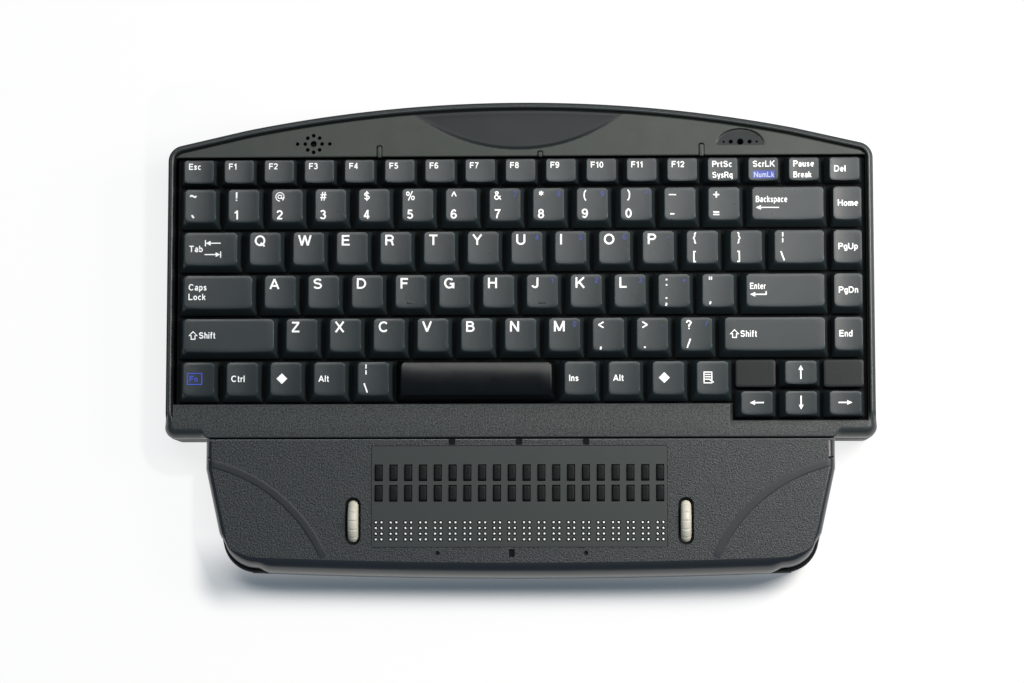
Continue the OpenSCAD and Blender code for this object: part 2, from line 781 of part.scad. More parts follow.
module upper_case() {
    color("#3a3f3d")
    difference() {
        union() {
            difference() {
                slab(split_z, deck_z + bead_h - split_z)
                    case_plan(lip_step, seam_step);
                slab(split_z - 1, deck_under - split_z + 1)
                    case_plan(lip_step + wall_t);
                slab(deck_z, bead_h + 1)
                    case_plan(lip_step + bead_w);
                translate([-display_half, seam_y, deck_z])
                    cube([2 * display_half, front_corner_r, bead_h + 1]);
            }
            at(screw_points)
                translate([0, 0, split_z])
                    cylinder(r = boss_r, h = deck_under - split_z + 1);
        }
        slab(deck_under - 1, top_t + 2)
            key_opening();
        slab(panel_under, panel_t + 1)
            rear_band(rim_w);
        slab(deck_z - groove_depth, groove_depth + 1)
            rear_band(lip_step + bead_w);
        at(screw_points)
            translate([0, 0, split_z - 1])
                cylinder(r = screw_r + thread_gap, h = screw_top - split_z + 1.5);
        translate([-speaker_x - speaker_window / 2, grille_line - speaker_ring_r - 1, deck_under - 1])
            cube([speaker_window, 2 * speaker_ring_r + 2, top_t]);
        translate([mic_x - speaker_window / 2, grille_line - 1, deck_under - 1])
            cube([speaker_window, 2, top_t]);
        tab_notches(deck_under - 1, top_t + 2);
    }
}

// The band of the deck behind the keys
module rear_band(d) {
    intersection() {
        case_plan(d);
        translate([-body_w, key_back + well_gap])
            square([2 * body_w, arch_r]);
    }
}

// A sloping cut, recess_depth deep at y and running out to nothing over the length
module sloping_cut(y, length) {
    rotate([90, 0, 90])
        translate([0, 0, -half_w])
            linear_extrude(body_w)
                polygon([[y - 1, deck_z - recess_depth], [y, deck_z - recess_depth], [y + length, deck_z],
                         [y + length, deck_z + 1], [y - 1, deck_z + 1]]);
}

module rear_panel() {
    color("#454b47")
    difference() {
        slab(panel_under, panel_t)
            rear_band(rim_w + panel_gap);
        tab_notches(panel_under - 1, panel_t + 2);
        translate([-speaker_x, grille_line, panel_under - 1]) {
            cylinder(r = speaker_hole_r, h = panel_t + 2);
            for (i = [0 : ring_holes - 1])
                rotate([0, 0, i * 360 / ring_holes])
                    translate([speaker_ring_r, 0, 0])
                        cylinder(r = speaker_ring_hole_r, h = panel_t + 2);
            for (x = [-speaker_outer_x, speaker_outer_x])
                translate([x, 0, 0])
                    cylinder(r = speaker_ring_hole_r, h = panel_t + 2);
        }
        for (hole = mic_holes)
            translate([mic_x + hole[0], grille_line, panel_under - 1])
                cylinder(r = hole[1], h = panel_t + 2);
        intersection() {
            translate([mic_x, grille_line + mic_scoop_d - mic_scoop_r, panel_under])
                cylinder(r = mic_scoop_r, h = panel_t + 1);
            translate([0, grille_line + body_w / 2, deck_z])
                cube(body_w, center = true);
            sloping_cut(grille_line, mic_scoop_d);
        }
        intersection() {
            translate([0, lens_front + lens_r, panel_under])
                cylinder(r = lens_r, h = panel_t + 1);
            sloping_cut(lens_front, rear_y - lens_front);
        }
    }
}

module key_frame() {
    color("#101213")
    difference() {
        union() {
            slab(frame_bottom, frame_t)
                key_field(frame_side, frame_edge, frame_edge);
            slab(sheet_top, frame_bottom - sheet_top + frame_t / 2)
                difference() {
                    key_field(frame_side, frame_edge, frame_edge);
                    key_field(-frame_inner, -frame_inner, -frame_inner);
                }
            slab(frame_top - frame_t / 2, frame_rim_h + frame_t / 2)
                difference() {
                    key_field(frame_side, frame_edge, frame_edge);
                    key_opening();
                    translate([-body_w, key_front])
                        square([2 * body_w, key_back - key_front]);
                    translate([arrow_left - frame_edge, arrow_front - well_gap])
                        square([body_w, row_pitch]);
                }
            for (t = tab_places)
                translate([t[0] - tab_piece_w / 2, key_back + well_gap, frame_top - frame_t / 2])
                    cube([tab_piece_w, tab_d, deck_z - tab_drop - frame_top + frame_t / 2]);
        }
        for (c = all_cells)
            translate([centre(c)[0], centre(c)[1], frame_bottom - 1])
                cylinder(r = stem_r + stem_clearance, h = frame_t + 2);
    }
}

module keyboard_plate() {
    color("#8b8f92")
    slab(plate_bottom, plate_t)
        key_field(frame_side, frame_edge, frame_edge);
}

module membrane() {
    color("#c8cfd0")
    slab(plate_top, sheet_t)
        key_field(frame_side, frame_edge, frame_edge);
}

module dome_sheet() {
    color("#d9d6cc")
    difference() {
        union() {
            slab(membrane_top, sheet_t)
                key_field(frame_side, frame_edge, frame_edge);
            for (c = all_cells)
                translate([centre(c)[0], centre(c)[1], membrane_top])
                    cylinder(r1 = dome_r, r2 = dome_r - dome_draw, h = sheet_t + dome_h);
        }
        for (c = all_cells)
            translate([centre(c)[0], centre(c)[1], membrane_top - sheet_t])
                cylinder(r1 = dome_r - dome_skin, r2 = dome_r - dome_draw - dome_skin, h = sheet_t + dome_h);
    }
}
module main_board() {
    board = [board_right - board_left, board_back - board_front];
    color("#1f5b35") {
        translate([board_left, board_front, board_z])
            cube([board[0], board[1], board_t]);
        for (c = chips)
            translate([board_left + c[0] * board[0], board_front + c[1] * board[1], board_z + board_t / 2])
                cube([c[2], c[2], chip_h + board_t / 2]);
    }
}

module battery_pack() {
    color("#2a3a55")
    translate([bay_left + battery[0] / 2, bay_front + battery[1] / 2, case_floor])
        rounded_box(battery, battery_corner_r, battery_h);
}

module battery_cover() {
    grow = bay_gap + bay_ledge - panel_gap;
    color("#2f3432")
    difference() {
        bay(grow, foot_h, floor_t);
        at(cover_screw_points) {
            translate([0, 0, foot_h - 1])
                cylinder(r = screw_r + screw_gap, h = floor_t + 2);
            translate([0, 0, foot_h - 1])
                cylinder(r = cover_head_r + screw_gap, h = cover_head_h + 1.2);
        }
    }
}

module speaker() {
    y = key_back + frame_edge + speaker_gap + speaker_size[1] / 2;
    color("#26282a")
    translate([-speaker_x, y, deck_under - speaker_size[2]])
        difference() {
            translate([-speaker_size[0] / 2, -speaker_size[1] / 2, 0])
                cube(speaker_size);
            translate([0, 0, speaker_size[2] - speaker_cone_h])
                cylinder(r1 = speaker_cone_r / 2, r2 = speaker_cone_r, h = speaker_cone_h + eps);
        }
}

module microphone() {
    color("#b9bcc0")
    translate([mic_x, key_back + frame_edge + mic_gap + mic_r, deck_under - mic_h])
        cylinder(r = mic_r, h = mic_h);
}

module screw(head_z, head_r, head_height, top) {
    color("#8d9094") {
        translate([0, 0, head_z])
            cylinder(r = head_r, h = head_height);
        translate([0, 0, head_z])
            cylinder(r = screw_r, h = top - head_z);
    }
}

module case_screws() {
    at(screw_points)
        screw(foot_h + head_recess - head_h, screw_head_r, head_h, screw_top);
    at(cover_screw_points)
        screw(foot_h + screw_gap, cover_head_r, cover_head_h, foot_h + cover_screw_l);
}

module foot() {
    color("#17191a")
    cylinder(r = foot_r, h = foot_h + foot_sink);
}

module main_feet() {
    at(main_foot_points)
        foot();
}

// A socket's block on the main board, its face at the side wall
module socket_block(y, size) {
    translate([socket_face - socket_l, y - size[0] / 2, board_top])
        cube([socket_l, size[0], size[1]]);
}

module power_socket() {
    color("#161819")
    difference() {
        socket_block(power_y, power_size);
        translate([socket_face - power_depth, power_y, power_z])
            rotate([0, 90, 0])
                difference() {
                    cylinder(r = power_bore_r, h = power_depth + 1);
                    translate([0, 0, -1])
                        cylinder(r = power_pin_r, h = power_depth);
                }
    }
}
module usb_socket() {
    mouth = usb_size - 2 * [usb_wall, usb_wall];
    color("#a9adb0") {
        difference() {
            socket_block(usb_y, usb_size);
            translate([socket_face - usb_depth, usb_y - mouth[0] / 2, board_top + usb_wall])
                cube([usb_depth + 1, mouth[0], mouth[1]]);
        }
        translate([socket_face - usb_depth - usb_wall, usb_y - usb_tongue[0] / 2, usb_z + usb_tongue_lift])
            cube([usb_depth - usb_tongue_back, usb_tongue[0], usb_tongue[1]]);
    }
}

module headphone_socket() {
    body_l = socket_l - 2 * wall_t;
    color("#161819")
    difference() {
        union() {
            translate([socket_face - socket_l, jack_y - jack_size[0] / 2, board_top])
                cube([body_l, jack_size[0], jack_size[1]]);
            translate([socket_face - socket_l + body_l / 2, jack_y, jack_z])
                rotate([0, 90, 0])
                    cylinder(r = nose_ring_r, h = socket_l - body_l / 2);
        }
        translate([socket_face - socket_l + jack_end, jack_y, jack_z])
            rotate([0, 90, 0])
                cylinder(r = jack_r, h = socket_l);
    }
}

module dock_socket() {
    w = plug_w + 2 * (dock_gap + dock_shell);
    h = plug_t + 2 * (dock_gap + dock_shell);
    y = pocket_back + pocket_wall;
    cavity = plug_l - pocket_wall + dock_gap;
    color("#1b1d1f")
    difference() {
        translate([-w / 2, y, plug_z - dock_gap - dock_shell])
            cube([w, dock_socket_d, h]);
        translate([-plug_w / 2 - dock_gap, y - 1, plug_z - dock_gap])
            cube([plug_w + 2 * dock_gap, cavity + 1, plug_t + 2 * dock_gap]);
    }
}

module key_fillers() {
    color("#3c413f")
    for (c = filler_cells)
        translate([c[0] + filler_gap, c[1] + filler_gap, frame_top])
            cube([c[2] - 2 * filler_gap, c[3] - 2 * filler_gap, filler_h]);
}

// Keys

// A block with flat sloping sides, from its foot at z to its top
module sloped_block(x0, x1, y0, y1, z, h, side, front, back) {
    intersection() {
        translate([0, y1, 0])
            rotate([90, 0, 0])
                linear_extrude(y1 - y0)
                    polygon([[x0, z], [x1, z], [x1 - side, z + h], [x0 + side, z + h]]);
        rotate([90, 0, 90])
            translate([0, 0, x0])
                linear_extrude(x1 - x0)
                    polygon([[y0, z], [y1, z], [y1 - back, z + h], [y0 + front, z + h]]);
    }
}

// Edges of the cap on the place c, at its skirt: left, right, front, back
function cap_edges(c) =
    [c[0] + key_gap / 2, c[0] + c[2] - key_gap / 2, c[1] + key_gap / 2, c[1] + c[3] - key_gap / 2];

module cap_block(c, side, front, back) {
    e = cap_edges(c);
    sloped_block(e[0], e[1], e[2], e[3], skirt_z, key_h, side, front, back);
}

// The hollow under a cap whose top lies lower than its corners by drop
module cap_hollow(c, side, front, back, drop) {
    e = cap_edges(c);
    h = key_h - cap_wall - drop;
    share = h / key_h;
    sloped_block(e[0] + cap_wall, e[1] - cap_wall, e[2] + cap_wall, e[3] - cap_wall, skirt_z - eps, h,
                 side * share, front * share, back * share);
}

module cap_stem(c, drop) {
    translate([centre(c)[0], centre(c)[1], stem_bottom])
        cylinder(r = stem_r, h = skirt_z + key_h - cap_wall / 2 - drop - stem_bottom);
}

// One keycap on the place c, hollow below, dished across its top, with its stem
module keycap(c, side = side_skirt, front = front_skirt, back = back_skirt) {
    e = cap_edges(c);
    top_w = e[1] - e[0] - 2 * side;
    dish_r = (top_w * top_w / 4 + dish_depth * dish_depth) / (2 * dish_depth);
    color("#41464a") {
        difference() {
            cap_block(c, side, front, back);
            cap_hollow(c, side, front, back, dish_depth);
            translate([(e[0] + e[1]) / 2, e[2] - 1, key_top + dish_r - dish_depth])
                rotate([-90, 0, 0])
                    cylinder(r = dish_r, h = e[3] - e[2] + 2, $fn = 720);
        }
        cap_stem(c, dish_depth);
    }
}

module keycaps(places) {
    for (c = places)
        keycap(c);
}

module function_row_keys() {
    for (c = function_cells)
        keycap(c, function_skirt, low_skirt, low_skirt / 2);
}

module number_row_keys() {
    keycaps(part_of(number_cells, 0, number_keys - 1));
}

module upper_row_keys() {
    keycaps(part_of(upper_cells, 1, upper_keys + 1));
}

module home_row_keys() {
    keycaps(part_of(home_cells, 1, home_keys));
}

module lower_row_keys() {
    keycaps(part_of(lower_cells, 1, lower_keys));
}

module modifier_keys() {
    keycaps(modifier_cells);
}

module navigation_keys() {
    for (c = navigation_cells)
        keycap(c, low_skirt);
}

module arrow_keys() {
    for (c = arrow_cells)
        keycap(c, side_skirt, 2 * low_skirt, low_skirt / 2);
}

module tab_key() {
    keycap(upper_cells[0]);
}

module caps_lock_key() {
    keycap(home_cells[0]);
}

module left_shift_key() {
    keycap(lower_cells[0]);
}

module right_shift_key() {
    keycap(lower_cells[lower_keys + 1]);
}

module enter_key() {
    keycap(home_cells[home_keys + 1]);
}

module backspace_key() {
    keycap(number_cells[number_keys]);
}

// The space bar's top is rolled from front to rear
module space_bar() {
    c = bottom_cells[left_keys];
    e = cap_edges(c);
    top_d = e[3] - e[2] - front_skirt - back_skirt;
    roll_r = (top_d * top_d / 4 + roll_drop * roll_drop) / (2 * roll_drop);
    color("#23272b") {
        difference() {
            intersection() {
                cap_block(c, side_skirt, front_skirt, back_skirt);
                translate([e[0] - 1, e[2] + front_skirt + top_d / 2, key_top - roll_r])
                    rotate([0, 90, 0])
                        cylinder(r = roll_r, h = e[1] - e[0] + 2, $fn = 360);
            }
            cap_hollow(c, side_skirt, front_skirt, back_skirt, roll_drop);
        }
        cap_stem(c, roll_drop);
    }
}

// Pieces of the display

// The strips of the front corners that the bumpers take, out to a margin outside
module bumper_zone(margin) {
    slab(bumper_z, bumper_h)
        intersection() {
            difference() {
                display_plan(-margin);
                display_plan(bumper_t);
            }
            for (side = [-1, 1])
                translate([side * corner_x - nose_corner_r, corner_y - 2 * front_bow])
                    square([2 * nose_corner_r, nose_corner_r + 2 * front_bow]);
        }
}

// The two wheel places, for what repeats on both wings
module both_wheels() {
    for (side = [-1, 1])
        translate([side * wheel_x, wheel_y, 0])
            children();
}

module display_upper_case() {
    color("#3d4240")
    difference() {
        union() {
            difference() {
                slab(display_split_z, deck_z - display_split_z)
                    display_plan(0);
                slab(display_split_z - 1, deck_under - display_split_z + 1)
                    display_plan(wall_t);
            }
            at(display_boss_points)
                translate([0, 0, display_split_z])
                    cylinder(r = boss_r, h = deck_under - display_split_z + 1);
            slab(deck_under, top_t + ridge_h)
                wing_ridges();
        }
        translate([0, display_front, deck_z])
            nose_round();
        slab(panel_under, panel_t + 1)
            panel_plan(panel_gap);
        slab(deck_under - 1, top_t - panel_t / 2 + 1)
            cell_window();
        both_wheels()
            translate([-wheel_w / 2 - wheel_gap, 0, wheel_z])
                rotate([0, 90, 0])
                    cylinder(r = wheel_r + wheel_gap, h = wheel_w + 2 * wheel_gap);
        at(display_boss_points)
            translate([0, 0, display_split_z - 1])
                cylinder(r = screw_r + thread_gap, h = screw_top - display_split_z + 1.5);
        bumper_zone(1);
        at(locator_points)
            translate([-locator[0] / 2, -locator[1] / 2, deck_z - locator_sink])
                cube([locator[0], locator[1], locator_sink + 1]);
    }
}

// Arc ridges over the wings, inside the display's plan
module wing_ridges() {
    intersection() {
        display_plan(nose_r / 2);
        for (side = [-1, 1])
            translate([side * (display_half + ridge_out), display_front - ridge_front])
                difference() {
                    circle(ridge_r + ridge_w);
                    circle(ridge_r);
                }
    }
}

// What the rounded front edge takes off
module nose_round() {
    difference() {
        translate([-display_half, -nose_r, -nose_r])
            cube([2 * display_half, 2 * nose_r, 2 * nose_r]);
        translate([-display_half - 1, nose_r, -nose_r])
            rotate([0, 90, 0])
                cylinder(r = nose_r, h = 2 * display_half + 2);
    }
}

// Plan of the braille panel grown by d
module panel_plan(d) {
    translate([-panel_w / 2 - d, panel_front - d])
        square([panel_w + 2 * d, panel_d + 2 * d]);
}

module display_lower_case() {
    color("#2b2f2e")
    difference() {
        union() {
            difference() {
                slab(foot_h, display_split_z - foot_h)
                    display_plan(0);
                slab(case_floor, display_split_z)
                    display_plan(wall_t);
            }
            translate([-tongue_w / 2, display_y - wall_t, tongue_z])
                cube([tongue_w, seam_y + tongue_d - display_y + wall_t, tongue_t]);
            at(display_boss_points)
                translate([0, 0, foot_h])
                    cylinder(r = boss_r, h = display_split_z - foot_h);
            at(cell_post_points)
                translate([0, 0, foot_h])
                    cylinder(r = post_r, h = cell_board_z - foot_h);
            both_wheels()
                for (y = [-guide_y - guide_t, guide_y])
                    translate([-guide_w / 2, y, foot_h])
                        cube([guide_w, guide_t, guide_top - foot_h]);
        }
        at(display_boss_points) {
            translate([0, 0, foot_h - 1])
                cylinder(r = screw_r + screw_gap, h = display_split_z);
            translate([0, 0, foot_h - 1])
                cylinder(r = screw_head_r + screw_gap, h = head_recess + 1);
        }
        at(display_foot_points)
            translate([0, 0, foot_h - 1])
                cylinder(r = foot_r + foot_gap, h = foot_sink + 1);
        bumper_zone(1);
    }
}

module braille_panel() {
    color("#464c48")
    difference() {
        slab(panel_under, panel_t)
            panel_plan(0);
        for (i = [0 : cells - 1]) {
            for (y = [rear_buttons_y, front_buttons_y])
                translate([cell_x(i), y, panel_under - 1])
                    button_block(button_gap, panel_t + 2);
            for (dot = dot_places)
                translate([dot_x(i, dot), dot_y(dot), panel_under - 1])
                    cylinder(r = pin_r + pin_gap, h = panel_t + 2);
        }
    }
}

module button_block(grow, h) {
    translate([-button[0] / 2 - grow, -button[1] / 2 - grow, 0])
        cube([button[0] + 2 * grow, button[1] + 2 * grow, h]);
}

// Opening under the panel: a ledge at front and rear, room for the cells' ends at the sides
module cell_window() {
    w = cells * cell_pitch + 2 * cell_gap;
    translate([-w / 2, panel_front + panel_ledge])
        square([w, panel_d - 2 * panel_ledge]);
}

module cell_modules() {
    color("#d8d2bd")
    for (i = [0 : cells - 1])
        difference() {
            translate([cell_x(i), 0, 0])
                rotate([90, 0, 90])
                    translate([0, 0, -cell_w / 2])
                        linear_extrude(cell_w)
                            cell_profile();
            for (dot = dot_places)
                translate([dot_x(i, dot), dot_y(dot), chamber_top - 1])
                    cylinder(r = pin_r + pin_gap, h = panel_under - chamber_top + 2);
        }
}

// Side view of a cell: a tall pin block in front, the reed chamber and the clamp behind
module cell_profile() {
    difference() {
        polygon([[block_front, cell_z], [cell_back, cell_z], [cell_back, cell_top], [block_back, cell_top],
                 [block_back, panel_under], [block_front, panel_under]]);
        translate([block_front + block_skin, chamber_z])
            square([cell_back - clamp_d - block_front - block_skin, chamber_top - chamber_z]);
    }
}

module piezo_reeds() {
    color("#9a8f78")
    for (i = [0 : cells - 1])
        for (dot = dot_places)
            translate([dot_x(i, dot) - reed_w / 2, dot_y(dot) - reed_nose, reed_top(dot[0]) - reed_t])
                cube([reed_w, cell_back - clamp_d - dot_y(dot) + reed_nose, reed_t]);
}

module cell_board() {
    press_switch_h = yoke_base - press_travel - switch_gap - cell_z;
    color("#1f5b35") {
        translate([-panel_w / 2, block_front - board_edge, cell_board_z])
            cube([panel_w, cell_back - block_front + 2 * board_edge, board_t]);
        translate([-wheel_x - press_switch, wheel_y - press_switch, cell_board_z])
            cube([2 * (wheel_x + press_switch), 2 * press_switch, board_t]);
        both_wheels()
            translate([-press_switch / 2, -press_switch / 2, cell_board_z + board_t / 2])
                cube([press_switch, press_switch, press_switch_h + board_t / 2]);
    }
}

module button_board() {
    d = rear_buttons_y - front_buttons_y + button[1] + 2 * board_edge;
    y = front_buttons_y - button[1] / 2 - board_edge;
    color("#1f5b35") {
        translate([panel_ledge - panel_w / 2, y, cell_top])
            cube([panel_w - 2 * panel_ledge, d, board_t]);
        for (i = [0 : cells - 1])
            for (row = [rear_buttons_y, front_buttons_y])
                translate([cell_x(i) - switch_w / 2, row - switch_w / 2, cell_top + board_t / 2])
                    cube([switch_w, switch_w, switch_h + board_t / 2]);
    }
}

module corner_bumpers() {
    color("#121415")
    bumper_zone(0);
}

module display_feet() {
    at(display_foot_points)
        foot();
}

module display_screws() {
    at(display_boss_points)
        screw(foot_h + head_recess - head_h, screw_head_r, head_h, screw_top);
}

module dock_plug() {
    color("#1b1d1f")
    translate([-plug_w / 2, seam_y + tongue_d, plug_z])
        cube([plug_w, plug_l, plug_t]);
}

module locator_blocks() {
    color("#0e0f10")
    at(locator_points)
        translate([-locator[0] / 2, -locator[1] / 2, deck_z - locator_sink])
            cube([locator[0], locator[1], locator_sink + locator_proud]);
}

module routing_buttons(y) {
    color("#3a3f42")
    for (i = [0 : cells - 1])
        translate([cell_x(i), y, 0]) {
            translate([0, 0, button_bottom])
                button_block(0, deck_z + button_proud - button_bottom);
            translate([0, 0, flange_top - flange_h])
                button_block(flange_edge, flange_h);
        }
}

module rear_routing_buttons() {
    routing_buttons(rear_buttons_y);
}

module front_routing_buttons() {
    routing_buttons(front_buttons_y);
}

// The pins of one dot in every cell, each standing on its reed
module dot_pins(number) {
    dot = dot_places[number - 1];
    foot = reed_top(dot[0]);
    tip = deck_z + pin_proud;
    color("#f2f1ea")
    for (i = [0 : cells - 1])
        translate([dot_x(i, dot), dot_y(dot), foot]) {
            cylinder(r = pin_r, h = tip - pin_round - foot);
            translate([0, 0, tip - pin_round - foot])
                cylinder(r1 = pin_r, r2 = pin_r / 2, h = pin_round);
        }
}

module wheel_yoke(side) {
    color("#565b5c")
    translate([side * wheel_x, wheel_y, 0])
        difference() {
            union() {
                translate([-cheek_x - yoke_t, -yoke_half_y, yoke_base])
                    cube([2 * (cheek_x + yoke_t), 2 * yoke_half_y, yoke_t]);
                for (x = [-cheek_x - yoke_t, cheek_x])
                    translate([x, -cheek_half_y, yoke_base])
                        cube([yoke_t, 2 * cheek_half_y, yoke_top - yoke_base]);
            }
            translate([-cheek_x - 2 * yoke_t, 0, wheel_z])
                rotate([0, 90, 0])
                    cylinder(r = axle_r + axle_gap, h = 2 * cheek_x + 4 * yoke_t);
        }
}

module thumb_wheel(side) {
    color("#e3dfc9")
    translate([side * wheel_x, wheel_y, wheel_z])
        rotate([0, 90, 0]) {
            difference() {
                translate([0, 0, -wheel_w / 2])
                    cylinder(r = wheel_r, h = wheel_w);
                for (i = [0 : wheel_ribs - 1])
                    rotate([0, 0, (i + 0.5) * 360 / wheel_ribs])
                        translate([wheel_r + rib_groove_r / 3, 0, -wheel_w])
                            cylinder(r = rib_groove_r, h = 2 * wheel_w);
            }
            translate([0, 0, -cheek_x - yoke_t])
                cylinder(r = axle_r, h = 2 * (cheek_x + yoke_t));
        }
}

lower_case();
upper_case();
rear_panel();
key_frame();
keyboard_plate();
membrane();
dome_sheet();
main_board();
battery_pack();
battery_cover();
speaker();
microphone();
case_screws();
main_feet();
power_socket();
usb_socket();
headphone_socket();
dock_socket();
key_fillers();
function_row_keys();
number_row_keys();
upper_row_keys();
home_row_keys();
lower_row_keys();
modifier_keys();
navigation_keys();
arrow_keys();
tab_key();
caps_lock_key();
left_shift_key();
right_shift_key();
enter_key();
backspace_key();
space_bar();
display_upper_case();
display_lower_case();
braille_panel();
cell_modules();
piezo_reeds();
cell_board();
button_board();
corner_bumpers();
display_feet();
display_screws();
dock_plug();
locator_blocks();
rear_routing_buttons();
front_routing_buttons();
dot_pins(1);  // dot_1_pins
dot_pins(2);  // dot_2_pins
dot_pins(3);  // dot_3_pins
dot_pins(4);  // dot_4_pins
dot_pins(5);  // dot_5_pins
dot_pins(6);  // dot_6_pins
dot_pins(7);  // dot_7_pins
dot_pins(8);  // dot_8_pins
wheel_yoke(-1);  // wheel_yoke_left
wheel_yoke(1);  // wheel_yoke_right
thumb_wheel(-1);  // thumb_wheel_left
thumb_wheel(1);  // thumb_wheel_right
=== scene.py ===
"""Looks of a braille notetaker: a keyboard unit with a braille display docked along its front edge.

Sizes are in millimetres in the part's own frame: X to the right, Y to the rear, Z up from the table.
"""

import logging
import math
from dataclasses import dataclass
from enum import Enum
from typing import Any, Sequence, Union

import bmesh
import bpy
import numpy as np
from mathutils import Matrix, Vector


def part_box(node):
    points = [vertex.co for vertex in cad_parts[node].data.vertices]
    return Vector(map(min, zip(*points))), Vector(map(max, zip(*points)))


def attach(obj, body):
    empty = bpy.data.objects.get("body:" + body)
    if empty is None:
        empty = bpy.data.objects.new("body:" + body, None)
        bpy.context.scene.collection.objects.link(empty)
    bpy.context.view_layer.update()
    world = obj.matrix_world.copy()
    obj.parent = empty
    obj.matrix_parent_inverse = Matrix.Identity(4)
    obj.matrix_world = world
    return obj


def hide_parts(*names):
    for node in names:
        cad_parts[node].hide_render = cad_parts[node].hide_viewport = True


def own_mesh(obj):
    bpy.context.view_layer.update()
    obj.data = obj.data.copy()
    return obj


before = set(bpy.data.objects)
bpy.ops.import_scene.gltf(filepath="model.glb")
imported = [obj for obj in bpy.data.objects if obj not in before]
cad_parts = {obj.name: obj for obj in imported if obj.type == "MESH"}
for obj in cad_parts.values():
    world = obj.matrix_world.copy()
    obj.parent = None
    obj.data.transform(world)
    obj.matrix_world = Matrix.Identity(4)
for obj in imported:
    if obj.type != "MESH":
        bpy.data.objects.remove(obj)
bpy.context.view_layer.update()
MM = 0.001
LOG = logging.getLogger("notetaker")
Array = np.ndarray
Colour = tuple[int, int, int]
Place = tuple[float, float, float]
Cut = tuple[Place, Place, float]
Plan = tuple[float, float, float]


class Signal:
    """An output socket of a shader node that takes part in ordinary arithmetic."""

    def __init__(self, tree: bpy.types.NodeTree, socket: bpy.types.NodeSocket) -> None:
        """Wraps one output socket of a tree."""
        self.tree = tree
        self.socket = socket

    def math(self, operation: str, first: "Value", second: "Value") -> "Signal":
        """Adds one Math node.

        Args:
            operation: Blender's name of the operation.
            first: the first operand.
            second: the second operand.
        Returns:
            The node's result.
        """
        node = self.tree.nodes.new("ShaderNodeMath")
        node.operation = operation
        connect(self.tree, node.inputs[0], first)
        connect(self.tree, node.inputs[1], second)
        return Signal(self.tree, node.outputs[0])

    def __add__(self, other: "Value") -> "Signal":
        """Sum."""
        return self.math("ADD", self, other)

    def __radd__(self, other: "Value") -> "Signal":
        """Sum with a plain number first."""
        return self.math("ADD", other, self)

    def __sub__(self, other: "Value") -> "Signal":
        """Difference."""
        return self.math("SUBTRACT", self, other)

    def __rsub__(self, other: "Value") -> "Signal":
        """Difference with a plain number first."""
        return self.math("SUBTRACT", other, self)

    def __mul__(self, other: "Value") -> "Signal":
        """Product."""
        return self.math("MULTIPLY", self, other)

    def __pow__(self, other: "Value") -> "Signal":
        """Power."""
        return self.math("POWER", self, other)

    def __abs__(self) -> "Signal":
        """Size without its sign."""
        return self.math("ABSOLUTE", self, 0.0)

    def least(self, other: "Value") -> "Signal":
        """The lower of two."""
        return self.math("MINIMUM", self, other)

    def most(self, other: "Value") -> "Signal":
        """The higher of two."""
        return self.math("MAXIMUM", self, other)


Value = Union[Signal, float, Sequence[float]]


def connect(tree: bpy.types.NodeTree, slot: bpy.types.NodeSocket, value: Value) -> None:
    """Links a signal to an input, or sets the input's own number.

    Args:
        tree: the node tree.
        slot: the input socket.
        value: a signal, a number or a few numbers.
    """
    if isinstance(value, Signal):
        tree.links.new(value.socket, slot)
    else:
        slot.default_value = value


def linear(colour: Colour) -> tuple[float, float, float, float]:
    """Scene-linear colour of a screen colour given as 0 to 255.

    Args:
        colour: red, green and blue on the screen.
    Returns:
        Red, green, blue and an alpha of 1.
    """
    share = np.array(colour, float) / 255.0
    plain = np.where(share <= 0.04045, share / 12.92, ((share + 0.055) / 1.055) ** 2.4)
    return (float(plain[0]), float(plain[1]), float(plain[2]), 1.0)


